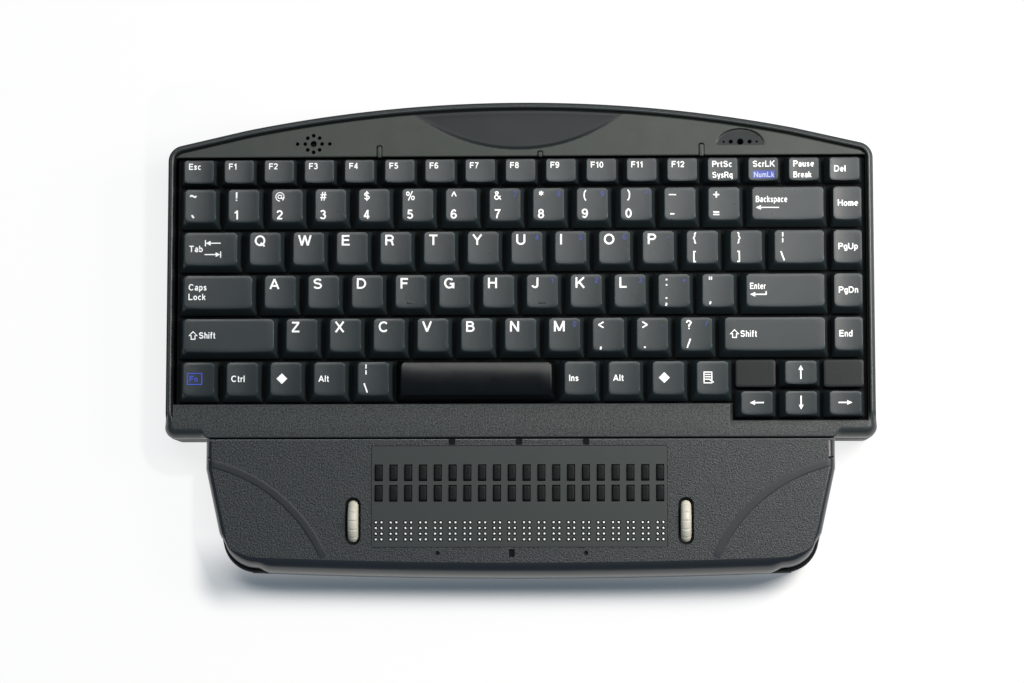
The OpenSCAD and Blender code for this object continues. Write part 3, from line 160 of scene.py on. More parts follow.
class Shader:
    """The node tree of one finish, which ends in a Principled surface."""

    def __init__(self, name: str) -> None:
        """Starts a material with nothing but its surface and its output."""
        self.material = bpy.data.materials.new(name)
        self.material.use_nodes = True
        self.tree = self.material.node_tree
        self.tree.nodes.clear()
        self.surface = self.tree.nodes.new("ShaderNodeBsdfPrincipled")
        self.end = self.tree.nodes.new("ShaderNodeOutputMaterial")
        self.tree.links.new(self.surface.outputs[0], self.end.inputs["Surface"])
        self.place = self.node("ShaderNodeTexCoord", output="Object")

    def node(self, kind: str, settings: dict[str, Any] | None = None, inputs: dict[Any, Value] | None = None,
             output: int | str = 0) -> Signal:
        """Adds any node.

        Args:
            kind: the node's type.
            settings: its own settings, made before its inputs.
            inputs: values or signals by input name or number.
            output: which of its outputs is wanted.
        Returns:
            That output.
        """
        node = self.tree.nodes.new(kind)
        for name, value in (settings or {}).items():
            setattr(node, name, value)
        for name, value in (inputs or {}).items():
            connect(self.tree, node.inputs[name], value)
        return Signal(self.tree, node.outputs[output])

    def feed(self, **inputs: Value) -> None:
        """Gives the surface its inputs; an underscore in a name stands for a space."""
        for name, value in inputs.items():
            connect(self.tree, self.surface.inputs[name.replace("_", " ")], value)

    def noise(self, size: float, detail: float = 2.0, rough: float = 0.5,
              stretch: Sequence[float] = (1.0, 1.0, 1.0)) -> Signal:
        """Fractal noise between 0 and 1.

        Args:
            size: size of its blotches in mm.
            detail: number of finer layers.
            rough: strength of the finer layers.
            stretch: factors on the coordinates, small ones draw the blotches out.
        Returns:
            The noise.
        """
        where = self.node("ShaderNodeVectorMath", {"operation": "MULTIPLY"}, {0: self.place, 1: stretch})
        return self.node("ShaderNodeTexNoise", None,
                         {"Vector": where, "Scale": 1.0 / (size * MM), "Detail": detail, "Roughness": rough})

    def along(self, axis: str) -> Signal:
        """The object's own coordinate X, Y or Z in mm."""
        return self.node("ShaderNodeSeparateXYZ", None, {0: self.place}, axis) * (1.0 / MM)

    def smooth(self, value: Signal, low: float, high: float) -> Signal:
        """A step from 0 to 1 that is smooth at both ends, between low and high."""
        return self.node("ShaderNodeMapRange", {"interpolation_type": "SMOOTHSTEP"},
                         {"Value": value, "From Min": low, "From Max": high})

    def shade(self, colour: Colour, tone: Signal) -> Signal:
        """A screen colour made lighter and darker by a factor about 1."""
        return self.node("ShaderNodeVectorMath", {"operation": "SCALE"}, {0: linear(colour)[:3], "Scale": tone})

    def mix(self, share: Signal, low: Value, high: Value) -> Signal:
        """A colour between two, by a share from 0 to 1."""
        return self.node("ShaderNodeMix", {"data_type": "RGBA"}, {0: share, 6: low, 7: high}, 2)

    def bump(self, height: Signal, depth: float) -> Signal:
        """A surface direction from a relief that is depth mm high."""
        return self.node("ShaderNodeBump", None, {"Strength": 1.0, "Distance": depth * MM, "Height": height})


@dataclass(frozen=True)
class Plastic:
    """Moulded plastic or rubber: spark-eroded grain, fine specks, slow mottling and rubbed patches."""

    name: str
    colour: Colour
    rough: float = 0.5
    grain: float = 0.6
    relief: float = 0.02
    mottle: float = 0.06
    speck: float = 0.08
    level: float = 0.5
    coat: float = 0.0

    def make(self) -> bpy.types.Material:
        """The material: the tone is one plus slow and fine noise, and the fine noise is also the relief."""
        shader = Shader(self.name)
        fine = shader.noise(self.grain, 3.0, 0.62)
        slow = shader.noise(42.0, 3.0, 0.55)
        rub = shader.noise(7.0, 4.0, 0.6)
        tone = 1.0 + (slow - 0.5) * (2.0 * self.mottle) + (fine - 0.5) * (2.0 * self.speck)
        shader.feed(Base_Color=shader.shade(self.colour, tone),
                    Roughness=self.rough + (slow - 0.5) * 0.1 + (rub - 0.5) * 0.12,
                    Normal=shader.bump(fine + rub * 0.25, self.relief),
                    Specular_IOR_Level=self.level, Coat_Weight=self.coat, Coat_Roughness=0.12)
        return shader.material


@dataclass(frozen=True)
class Metal:
    """Sheet or turned metal with fine brushed lines and dull patches."""

    name: str
    colour: Colour
    rough: float = 0.32

    def make(self) -> bpy.types.Material:
        """The material: noise drawn out along X gives the brushed lines."""
        shader = Shader(self.name)
        lines = shader.noise(0.5, 3.0, 0.6, (0.04, 1.0, 1.0))
        patch = shader.noise(6.0, 3.0, 0.5)
        shader.feed(Base_Color=shader.shade(self.colour, 0.9 + lines * 0.2), Metallic=1.0,
                    Roughness=self.rough + (patch - 0.5) * 0.2 + (lines - 0.5) * 0.1,
                    Normal=shader.bump(lines, 0.008))
        return shader.material


@dataclass(frozen=True)
class Printed:
    """A board or film with tracks: a base colour and a track colour where banded noise is high."""

    name: str
    base: Colour
    track: Colour
    pitch: float = 1.6
    rough: float = 0.35

    def make(self) -> bpy.types.Material:
        """The material: two sets of bands bent by noise, each cut to thin tracks."""
        shader = Shader(self.name)
        bend = shader.noise(18.0, 1.0, 0.4)
        across, upright = (
            shader.node("ShaderNodeTexWave", {"bands_direction": axis},
                        {"Vector": shader.place, "Scale": 0.1 / (self.pitch * MM), "Distortion": bent,
                         "Detail": 0.0}, "Fac") for axis, bent in (("X", 3.0), ("Y", 2.0)))
        pick = shader.smooth(bend, 0.47, 0.53)
        tracks = shader.smooth(across * pick + upright * (1.0 - pick), 0.72, 0.8)
        shader.feed(Base_Color=shader.mix(tracks, linear(self.base), linear(self.track)),
                    Roughness=self.rough + bend * 0.15, Normal=shader.bump(tracks, 0.03))
        return shader.material


@dataclass(frozen=True)
class Ink:
    """Legend print: flat colour with slightly worn, uneven cover."""

    name: str
    colour: Colour

    def make(self) -> bpy.types.Material:
        """The material: fine noise lightens and darkens the print a little."""
        shader = Shader(self.name)
        wear = shader.noise(0.8, 3.0, 0.6)
        shader.feed(Base_Color=shader.shade(self.colour, 0.92 + wear * 0.16), Roughness=0.45 + wear * 0.15,
                    Normal=shader.bump(wear, 0.006))
        return shader.material


class Finishes:
    """Every finish of the notetaker, made once."""

    def __init__(self) -> None:
        """Makes the materials by name."""
        kinds = (
            Plastic("deck_grain", (40, 45, 45), 0.5, 0.7, 0.24, 0.08, 2.8, 0.4),
            Plastic("display_grain", (31, 36, 38), 0.46, 0.75, 0.36, 0.1, 3.6, 0.5),
            Plastic("rim_smooth", (40, 45, 45), 0.36, 0.5, 0.01, 0.06, 0.3, 0.5),
            Plastic("ridge_smooth", (28, 32, 36), 0.48, 0.5, 0.008, 0.06, 0.08, 0.4),
            Plastic("nose_smooth", (19, 22, 26), 0.3, 0.5, 0.008, 0.06, 0.08, 0.9),
            Plastic("panel_smooth", (42, 48, 44), 0.42, 0.7, 0.02, 0.06, 0.25, 0.32),
            Plastic("braille_smooth", (40, 46, 45), 0.5, 0.5, 0.008, 0.05, 0.06, 0.4),
            # Darker than the panel: painted shade on the floors of the lens recess and the microphone scoop.
            Plastic("recess_painted_shade", (20, 26, 27), 0.45, 0.7, 0.015, 0.06, 0.2, 0.3),
            Plastic("lower_plastic", (9, 12, 12), 0.5, 0.7, 0.03, 0.06, 0.2, 0.3),
            Plastic("key_plastic", (35, 42, 44), 0.3, 0.7, 0.012, 0.08, 0.3, 0.37),
            Plastic("space_plastic", (8, 11, 13), 0.2, 0.6, 0.003, 0.05, 0.05, 0.22),
            Plastic("filler_plastic", (24, 28, 29), 0.46, 0.7, 0.03, 0.05, 0.4, 0.2),
            # Near-black: the own colour of a few dark parts, and painted shade in grooves, pits, slots, gaps and
            # openings.
            Plastic("black_and_painted_shade", (5, 7, 8), 0.7, 0.6, 0.02, 0.1, 0.1, 0.15),
            Plastic("button_plastic", (7, 10, 11), 0.5, 0.4, 0.008, 0.06, 0.1, 0.15),
            Plastic("rubber", (4, 5, 6), 0.75, 0.4, 0.02, 0.12, 0.2, 0.2),
            Plastic("wheel_ivory", (190, 186, 172), 0.45, 0.5, 0.012, 0.06, 0.06),
            Plastic("pin_white", (240, 242, 240), 0.35, 0.3, 0.004, 0.03, 0.02),
            Plastic("cell_plastic", (34, 36, 38), 0.5, 0.5, 0.01),
            Plastic("yoke_plastic", (60, 64, 65), 0.45, 0.5, 0.01),
            Plastic("reed_ceramic", (154, 143, 120), 0.6, 0.4, 0.012, 0.08, 0.1),
            Plastic("dome_rubber", (150, 152, 148), 0.55, 0.4, 0.008, 0.06, 0.05, 0.4),
            Plastic("battery_wrap", (38, 60, 104), 0.3, 1.4, 0.05, 0.06, 0.04, 0.5, 0.3),
            Metal("steel", (176, 178, 180)),
            Metal("socket_metal", (190, 188, 182), 0.28),
            Metal("microphone_can", (168, 166, 160), 0.36),
            Printed("circuit_board", (24, 78, 44), (60, 120, 62)),
            Printed("membrane_film", (96, 102, 104), (168, 172, 174), 2.6),
            Ink("ink_white", (250, 251, 250)),
            Ink("ink_blue", (48, 72, 190)),
            Ink("ink_pad", (54, 68, 150)),
            Ink("ink_pale", (168, 176, 200)),
        )
        self.by_name = {kind.name: kind.make() for kind in kinds}

    def __getitem__(self, name: str) -> bpy.types.Material:
        """The finish of that name."""
        return self.by_name[name]


class Form:
    """Gathers the patches of one piece, in mm, and makes one mesh object of them."""

    def __init__(self) -> None:
        """Starts with no patch."""
        self.points: list[Array] = []
        self.faces: list[list[int]] = []
        self.slots: list[int] = []
        self.total = 0

    def keep(self, points: Array, faces: list[list[int]], slot: int) -> None:
        """Takes in points and the faces between them.

        Args:
            points: N x 3 places.
            faces: lists of point numbers, counted from these points' first.
            slot: number of the faces' finish.
        """
        self.faces += [[corner + self.total for corner in face] for face in faces] if self.total else faces
        self.slots += [slot] * len(faces)
        self.points.append(points)
        self.total += len(points)

    def grid(self, points: Array, around: bool = False, along: bool = False, slot: int = 0) -> None:
        """Adds sheets of quads; seen from outside, columns run to the right and rows run up.

        Args:
            points: rows x columns x 3 places, or several such sheets in one array.
            around: joins each row's last column to its first.
            along: joins the last row to the first.
            slot: number of the finish.
        """
        rows, columns = points.shape[-3:-1]
        index = np.arange(rows * columns).reshape(rows, columns)
        index = np.concatenate([index, index[:, :1]], 1) if around else index
        index = np.concatenate([index, index[:1]], 0) if along else index
        quads = np.stack([index[:-1, :-1], index[:-1, 1:], index[1:, 1:], index[1:, :-1]], -1).reshape(-1, 4)
        sheets = points.reshape(-1, rows * columns, 3)
        shift = np.arange(len(sheets))[:, None, None] * rows * columns
        self.keep(sheets.reshape(-1, 3), (quads[None] + shift).reshape(-1, 4).tolist(), slot)

    def lid(self, rings: Array, up: bool, slot: int = 0) -> None:
        """Closes rings that run counter-clockwise seen from above, one flat face each.

        Args:
            rings: columns x 3 places, or several rings in one array.
            up: whether the faces look up.
            slot: number of the finish.
        """
        count = rings.shape[-2]
        rings = rings.reshape(-1, count, 3)
        order = np.arange(count) if up else np.arange(count)[::-1]
        faces = order[None] + np.arange(len(rings))[:, None] * count
        self.keep(rings.reshape(-1, 3), faces.tolist(), slot)

    def solid(self, stack: Array) -> "Form":
        """Adds stacks of rings, each with its wall and both ends.

        Args:
            stack: rows x columns x 3 places, or several such stacks in one array.
        Returns:
            The form itself.
        """
        self.grid(stack, around=True)
        self.lid(stack[..., 0, :, :], False)
        self.lid(stack[..., -1, :, :], True)
        return self

    def bar(self, rows: Array, closed: bool = False) -> None:
        """Adds a bar: lines along it, joined round it, and its two ends.

        Args:
            rows: lines x columns x 3 places.
            closed: whether its end meets its start, so that it has no ends.
        """
        self.grid(rows, around=closed, along=True)
        if not closed:
            order = list(range(len(rows)))
            self.keep(rows[:, 0], [order], 0)
            self.keep(rows[:, -1], [order[::-1]], 0)

    def build(self, name: str, finishes: Sequence[bpy.types.Material], crease: float = 38.0) -> bpy.types.Object:
        """Makes the mesh object, with equal points joined and edges over the crease angle kept sharp.

        Args:
            name: the piece's name.
            finishes: materials by slot number.
            crease: angle in degrees.
        Returns:
            The object, in metres, at the origin.
        """
        mesh = bpy.data.meshes.new(name)
        mesh.from_pydata((np.concatenate(self.points) * MM).tolist(), [], self.faces)
        mesh.polygons.foreach_set("material_index", self.slots)
        for finish in finishes:
            mesh.materials.append(finish)
        work = bmesh.new()
        work.from_mesh(mesh)
        bmesh.ops.remove_doubles(work, verts=work.verts, dist=2e-6)
        bmesh.ops.dissolve_degenerate(work, edges=work.edges, dist=1e-6)
        work.to_mesh(mesh)
        work.free()
        mesh.shade_smooth()
        mesh.set_sharp_from_angle(angle=math.radians(crease))
        piece = bpy.data.objects.new(name, mesh)
        bpy.context.scene.collection.objects.link(piece)
        return piece


def place(piece: bpy.types.Object, body: str, slot: str, *nodes: str) -> bpy.types.Object:
    """Puts a piece on its body and hides the solids that it stands for.

    Args:
        piece: the new piece.
        body: the body it moves with.
        slot: the record's finish slot; not used.
        nodes: the solids that it replaces.
    Returns:
        The piece.
    """
    if nodes:
        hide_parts(*nodes)
    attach(piece, body)
    LOG.info("%s on %s, %d faces", piece.name, body, len(piece.data.polygons))
    return piece


def carve(piece: bpy.types.Object, cutter: bpy.types.Object, crease: float = 38.0) -> None:
    """Cuts one closed piece out of another for good, and removes the cutter.

    Args:
        piece: what is cut.
        cutter: what is taken away.
        crease: angle in degrees above which edges stay sharp.
    """
    cut = piece.modifiers.new("cut", "BOOLEAN")
    cut.operation, cut.solver, cut.object = "DIFFERENCE", "EXACT", cutter
    bpy.context.view_layer.update()
    graph = bpy.context.evaluated_depsgraph_get()
    made = bpy.data.meshes.new_from_object(piece.evaluated_get(graph))
    piece.modifiers.clear()
    old, piece.data = piece.data, made
    made.name = piece.name
    bpy.data.meshes.remove(old)
    spare = cutter.data
    bpy.data.objects.remove(cutter)
    bpy.data.meshes.remove(spare)
    made.shade_smooth()
    made.set_sharp_from_angle(angle=math.radians(crease))


def flatten(piece: bpy.types.Object, slot: int) -> None:
    """Shades the faces of one finish flat, so that a wide plane stays even up to its rounded edge.

    Args:
        piece: the piece.
        slot: number of the finish.
    """
    finish = np.empty(len(piece.data.polygons), np.int32)
    piece.data.polygons.foreach_get("material_index", finish)
    piece.data.polygons.foreach_set("use_smooth", finish != slot)


def step(low: float, high: float, value: Array) -> Array:
    """Smooth step from 0 at low to 1 at high."""
    share = np.clip((value - low) / (high - low), 0.0, 1.0)
    return share * share * (3.0 - 2.0 * share)


def arc(centre: Sequence[float], radius: float, start: float, end: float, count: int) -> Array:
    """Points of a circular arc.

    Args:
        centre: X and Y of its centre.
        radius: its radius.
        start: angle of the first point in degrees.
        end: angle of the last point.
        count: number of points.
    Returns:
        count x 2 places.
    """
    turn = np.radians(np.linspace(start, end, count))
    return np.array(centre) + radius * np.stack([np.cos(turn), np.sin(turn)], 1)


def segment(start: Sequence[float], end: Sequence[float], count: int) -> Array:
    """Evenly spaced points of a straight line, both ends included."""
    return np.linspace(np.array(start, float), np.array(end, float), count)


def joined(*parts: Array) -> Array:
    """One outline from parts in a row, each point that repeats the one before left out."""
    points = np.concatenate(parts)
    apart = np.linalg.norm(points - np.roll(points, 1, 0), axis=1) > 1e-4
    return points[apart]


def outward(loop: Array) -> Array:
    """Unit normals of a closed counter-clockwise outline: the mean direction of both edges, turned right."""
    edge = np.roll(loop, -1, 0) - loop
    edge = edge / np.linalg.norm(edge, axis=1, keepdims=True)
    mean = edge + np.roll(edge, 1, 0)
    mean = mean / np.linalg.norm(mean, axis=1, keepdims=True)
    return np.stack([mean[:, 1], -mean[:, 0]], 1)


def lifted(flat: Array, height: Array | float) -> Array:
    """Places in the plane with their heights added as a third number."""
    return np.concatenate([flat, np.broadcast_to(height, flat.shape[:-1])[..., None]], -1)


def swept(loop: Array, normal: Array, inset: Array, height: Array) -> Array:
    """A profile carried along an outline: each row lies an inset inside the outline at its own height.

    Args:
        loop: N x 2 outline.
        normal: its outward normals.
        inset: rows x N insets.
        height: rows x N heights.
    Returns:
        rows x N x 3 places.
    """
    inset, height = np.broadcast_arrays(inset, height)
    return lifted(loop[None] - normal[None] * inset[..., None], height)


def corner_pattern(edge: int, corner: int) -> tuple[Array, Array]:
    """A unit rounded rectangle, counter-clockwise from the left end of its front edge.

    A point is its place on the straight frame plus a corner radius times its arc direction.

    Args:
        edge: points along each straight edge.
        corner: points along each corner arc.
    Returns:
        Places between -1 and 1, and arc directions, each N x 2.
    """
    along = np.linspace(-1.0, 1.0, edge, endpoint=False)
    turn = np.linspace(-math.pi / 2, 0.0, corner, endpoint=False)
    spot = np.concatenate([np.stack([along, -np.ones(edge)], 1), np.tile([1.0, -1.0], (corner, 1))])
    lean = np.concatenate([np.tile([0.0, -1.0], (edge, 1)), np.stack([np.cos(turn), np.sin(turn)], 1)])
    quarter = np.array([[0.0, 1.0], [-1.0, 0.0]])
    turns = [np.linalg.matrix_power(quarter, count) for count in range(4)]
    return np.concatenate([spot @ turn for turn in turns]), np.concatenate([lean @ turn for turn in turns])


def blocks(centre: Array, half: Array, radius: Array | float, height: Array, edge: int, corner: int) -> Array:
    """Stacks of rounded rectangles, one stack for each centre; what is the same for all is given once.

    Args:
        centre: K x rows x 2 middles.
        half: K x rows x 2 half sizes.
        radius: K x rows corner radii.
        height: K x rows heights.
        edge: points along each edge.
        corner: points along each corner.
    Returns:
        K x rows x N x 3 places.
    """
    shape = np.broadcast_shapes(centre.shape[:-1], half.shape[:-1], np.shape(radius), height.shape)
    centre, half = np.broadcast_to(centre, (*shape, 2)), np.broadcast_to(half, (*shape, 2))
    spot, lean = corner_pattern(edge, corner)
    radius = np.minimum(radius, half.min(-1))[..., None, None]
    flat = centre[..., None, :] + spot * (half[..., None, :] - radius) + lean * radius
    return lifted(flat, np.broadcast_to(height, shape)[..., None])


def lathe(centre: Array, radius: Array, height: Array, count: int) -> Array:
    """Turned shapes, one for each centre: rings of the given radii at the given heights.

    Args:
        centre: K x 2 axes.
        radius: rows radii.
        height: rows heights.
        count: points around.
    Returns:
        K x rows x count x 3 places.
    """
    turn = np.linspace(0.0, 2.0 * math.pi, count, endpoint=False)
    ring = np.stack([np.cos(turn), np.sin(turn)], -1)
    flat = centre[:, None, None, :] + radius[None, :, None, None] * ring
    return lifted(flat, height[None, :, None])


def pocket(low: Sequence[float], high: Sequence[float], radius: float = 0.0) -> Form:
    """A closed upright block with rounded corners, for cutting.

    Args:
        low: its lowest corner.
        high: its highest corner.
        radius: radius of its upright edges.
    Returns:
        The form.
    """
    low, high = np.array(low, float), np.array(high, float)
    middle, half = (low + high) / 2, (high - low) / 2
    return Form().solid(blocks(middle[:2], half[:2], max(radius, 0.01), np.array([[low[2], high[2]]]), 2, 6))


@dataclass
class KeyboardCase:
    """Upper case of the keyboard unit: rim, grained deck strip, rear recess."""

    finishes: Finishes
    half_w: float = 155.425
    seam_y: float = -43.9
    arch_y: float = -513.61
    arch_r: float = 618.11
    chord_x: float = 120.425
    front_r: float = 5.0
    rear_r: float = 8.0
    flange: float = 1.0
    bead_from: float = 1.9
    bead_w: float = 1.75
    bead_h: float = 0.95
    rim_w: float = 4.3
    shoulder_w: float = 4.2
    shoulder_h: float = 6.5
    bead_drop: float = 0.15
    lip_in: float = 0.15
    lip_from: float = -38.0
    lip_to: float = -33.0
    flush_in: float = 0.12
    flush_r: float = 0.6
    flush_x: float = 136.0
    roll_from: float = 0.2
    roll_share: float = 0.873
    groove_from: float = -34.0
    groove_to: float = -31.0
    groove_d: float = 1.0
    edge_strip: float = 0.5
    strip_drop: float = 0.3
    opening_wall: float = 3.0
    deck_z: float = 30.0
    split_z: float = 19.0
    wall: float = 3.8
    inner_wall: float = 7.5
    recess_in: float = 3.5
    recess_z: float = 27.0
    well_x: float = 151.125
    well_front: float = -29.1
    well_back: float = 79.3
    arrow_x: float = 92.5
    arrow_front: float = -36.5

    def arch(self, x: float) -> float:
        """Y of the rear arch at a distance from the middle."""
        return self.arch_y + math.sqrt(self.arch_r ** 2 - x ** 2)

    def outline(self) -> Array:
        """Closed outline from the middle of the front edge, counter-clockwise.

        Straight front and sides, round corners, a straight shoulder, and an arch between the shoulders.

        Returns:
            N x 2 places.
        """
        side, chord = self.arch(self.half_w), self.arch(self.chord_x)
        lean = math.degrees(math.atan2(chord - side, self.chord_x - self.half_w))
        turn = lean - 90.0
        tangent = self.rear_r * math.tan(math.radians(turn / 2))
        inner = self.half_w - self.front_r
        across = np.unique(np.concatenate([np.linspace(0.0, inner, 74), [self.arrow_x],
                                           self.flush_x + np.arange(4.0)]))
        upright = np.unique(np.concatenate([np.linspace(self.seam_y + self.front_r, side - tangent, 48),
                                            [self.arrow_front, self.well_front], self.groove_to - np.arange(5.0)]))
        bend = arc((self.half_w - self.rear_r, side - tangent), self.rear_r, 0.0, turn, 12)
        rise = math.degrees(math.atan2(chord - self.arch_y, self.chord_x))
        right = joined(
            np.stack([across, np.full(len(across), self.seam_y)], 1),
            arc((inner, self.seam_y + self.front_r), self.front_r, -90.0, 0.0, 14),
            np.stack([np.full(len(upright), self.half_w), upright], 1), bend,
            segment(bend[-1], (self.chord_x, chord), 14),
            arc((0.0, self.arch_y), self.arch_r, rise, 90.0, 60))
        return np.concatenate([right, right[-2:0:-1] * np.array([-1.0, 1.0])])

    def shares(self, loop: Array) -> tuple[Array, Array, Array]:
        """How much of the bead, the front corners' lip and the flush front each place of the outline has."""
        front = loop[:, 1] < self.seam_y + 0.01
        flush = np.where(front, 1.0 - step(self.flush_x, self.flush_x + 3.0, np.abs(loop[:, 0])), 0.0)
        lip = (1.0 - step(self.lip_from, self.lip_to, loop[:, 1])) * (1.0 - flush)
        return 1.0 - flush - lip, lip, flush

    def rim(self, form: Form, loop: Array, normal: Array) -> None:
        """The rim: wall, sloping flange, half-round bead, groove and inner wall, carried round the outline.

        At the front corners flange and bead open into a rounded shoulder, and between them the edge is flush with
        the deck.

        Args:
            form: takes the patches.
            loop: the outline.
            normal: its normals.
        """
        bead, lip, flush = self.shares(loop)
        groove = step(self.groove_from, self.groove_to, loop[:, 1])
        start = bead * self.flange + lip * self.lip_in + flush * self.flush_in
        full = np.linspace(0.0, math.pi, 13)[:, None]
        slope = np.array([[0.0, 29.1], [0.12, 29.4], [0.4, 29.55]])
        turn = np.concatenate([np.linspace(0.0, self.roll_from, 3)[:, None],
                               self.roll_from + full / 2 * self.roll_share])
        bead_in = np.concatenate([self.flange + slope[:, :1], self.bead_from + self.bead_w / 2 * (1 - np.cos(full))])
        bead_z = np.concatenate([slope[:, 1:], self.deck_z - self.bead_drop + self.bead_h * np.sin(full)])
        inset = (bead * bead_in + (lip * self.shoulder_w + flush * self.flush_r) * (1 - np.cos(turn))
                 + (1 - bead) * start)
        height = (bead * bead_z + lip * (self.deck_z + self.shoulder_h * (np.sin(turn) - 1))
                  + flush * (self.deck_z + self.flush_r * (np.sin(turn) - 1)))
        edge = bead * (self.bead_from + self.bead_w + 0.05) + lip * (self.shoulder_w + 0.2) + flush * 0.76
        inner = bead * self.rim_w + lip * (self.shoulder_w + 0.6) + flush * 1.6
        floor = self.deck_z - 0.04 - groove * self.groove_d
        foot = np.full(len(loop), self.split_z)
        insets, heights = np.stack([start, *inset, edge]), np.stack([foot, *height, floor])
        form.grid(swept(loop, normal, insets, heights), around=True)
        # Finish 2 is near-black: painted shade on the groove floor and inner wall of the rim, and on the underside.
        insets = np.stack([edge, inner, inner, np.full(len(loop), self.wall), start])
        heights = np.stack([floor, floor, foot + self.inner_wall, foot, foot])
        form.grid(swept(loop, normal, insets, heights), around=True, slot=2)

    def deck(self, form: Form, loop: Array, normal: Array) -> None:
        """The deck strip: grained from the rim to a smooth sloping strip along the key opening, then a wall.

        Args:
            form: takes the patches.
            loop: the outline.
            normal: its normals.
        """
        bead, lip, flush = self.shares(loop)
        inset = bead * self.rim_w + lip * (self.shoulder_w + 0.15) + flush * 0.72
        edge = loop - normal * inset[:, None]
        left = (loop[:, 0] < 0) & (loop[:, 1] <= self.well_front + 0.01)
        right = (loop[:, 0] >= 0) & (loop[:, 1] <= self.arrow_front + 0.01)
        middle = (loop[:, 0] >= 0) & (loop[:, 0] <= self.arrow_x + 0.001) & (loop[:, 1] < self.seam_y + 0.01)
        parts = ((edge[left | (right & (loop[:, 0] <= self.arrow_x + 0.001)) | middle], self.well_front),
                 (edge[right & (loop[:, 0] >= self.arrow_x - 0.001)], self.arrow_front))
        strip = np.array([0.0, -self.edge_strip])
        brim_z, foot_z = self.deck_z - self.strip_drop, self.deck_z - self.opening_wall
        for outer, front in parts:
            outer = outer[np.lexsort((-np.abs(outer[:, 1]) * np.sign(outer[:, 0]), outer[:, 0]))]
            x = np.clip(outer[:, 0], -self.well_x, self.well_x)
            brim = np.stack([x, np.full(len(x), front)], 1)
            inner = np.stack([x, np.maximum(outer[:, 1], front - self.edge_strip)], 1)
            form.grid(np.stack([lifted(outer, self.deck_z), lifted(inner, self.deck_z)]), slot=1)
            form.grid(np.stack([lifted(inner, self.deck_z), lifted(brim, brim_z)]))
            # The walls down into the key opening, and the step wall below, take near-black finish 2: painted shade
            # between deck and keys.
            form.grid(np.stack([lifted(brim, brim_z), lifted(brim, foot_z)]), slot=2)
        corner = np.array([[self.arrow_x, y] for y in (self.arrow_front, self.well_front)]) + strip
        form.grid(np.stack([lifted(corner, foot_z), lifted(corner, self.deck_z)]), slot=2)

    def recess(self, form: Form, loop: Array, normal: Array) -> None:
        """The dark floor under the rear panel, and its wall at the key opening."""
        edge = loop - normal * self.recess_in
        rear = edge[edge[:, 1] > self.well_back]
        rear = rear[np.argsort(-rear[:, 0])]
        front = np.stack([rear[:, 0], np.full(len(rear), self.well_back)], 1)
        # Near-black finish 2 on this floor and its wall: painted shade under the rear panel's edge.
        rows = np.stack([lifted(rear, self.recess_z), lifted(front, self.recess_z),
                         lifted(front, self.recess_z - 1.0)])
        form.grid(rows, slot=2)

    def build(self) -> None:
        """Builds and places the upper case."""
        loop = self.outline()
        normal = outward(loop)
        form = Form()
        self.rim(form, loop, normal)
        self.deck(form, loop, normal)
        self.recess(form, loop, normal)
        piece = form.build("keyboard_upper_case", [self.finishes[name] for name in
                                                   ("rim_smooth", "deck_grain", "black_and_painted_shade")])
        place(piece, "main", "case_plastic", "upper_case")


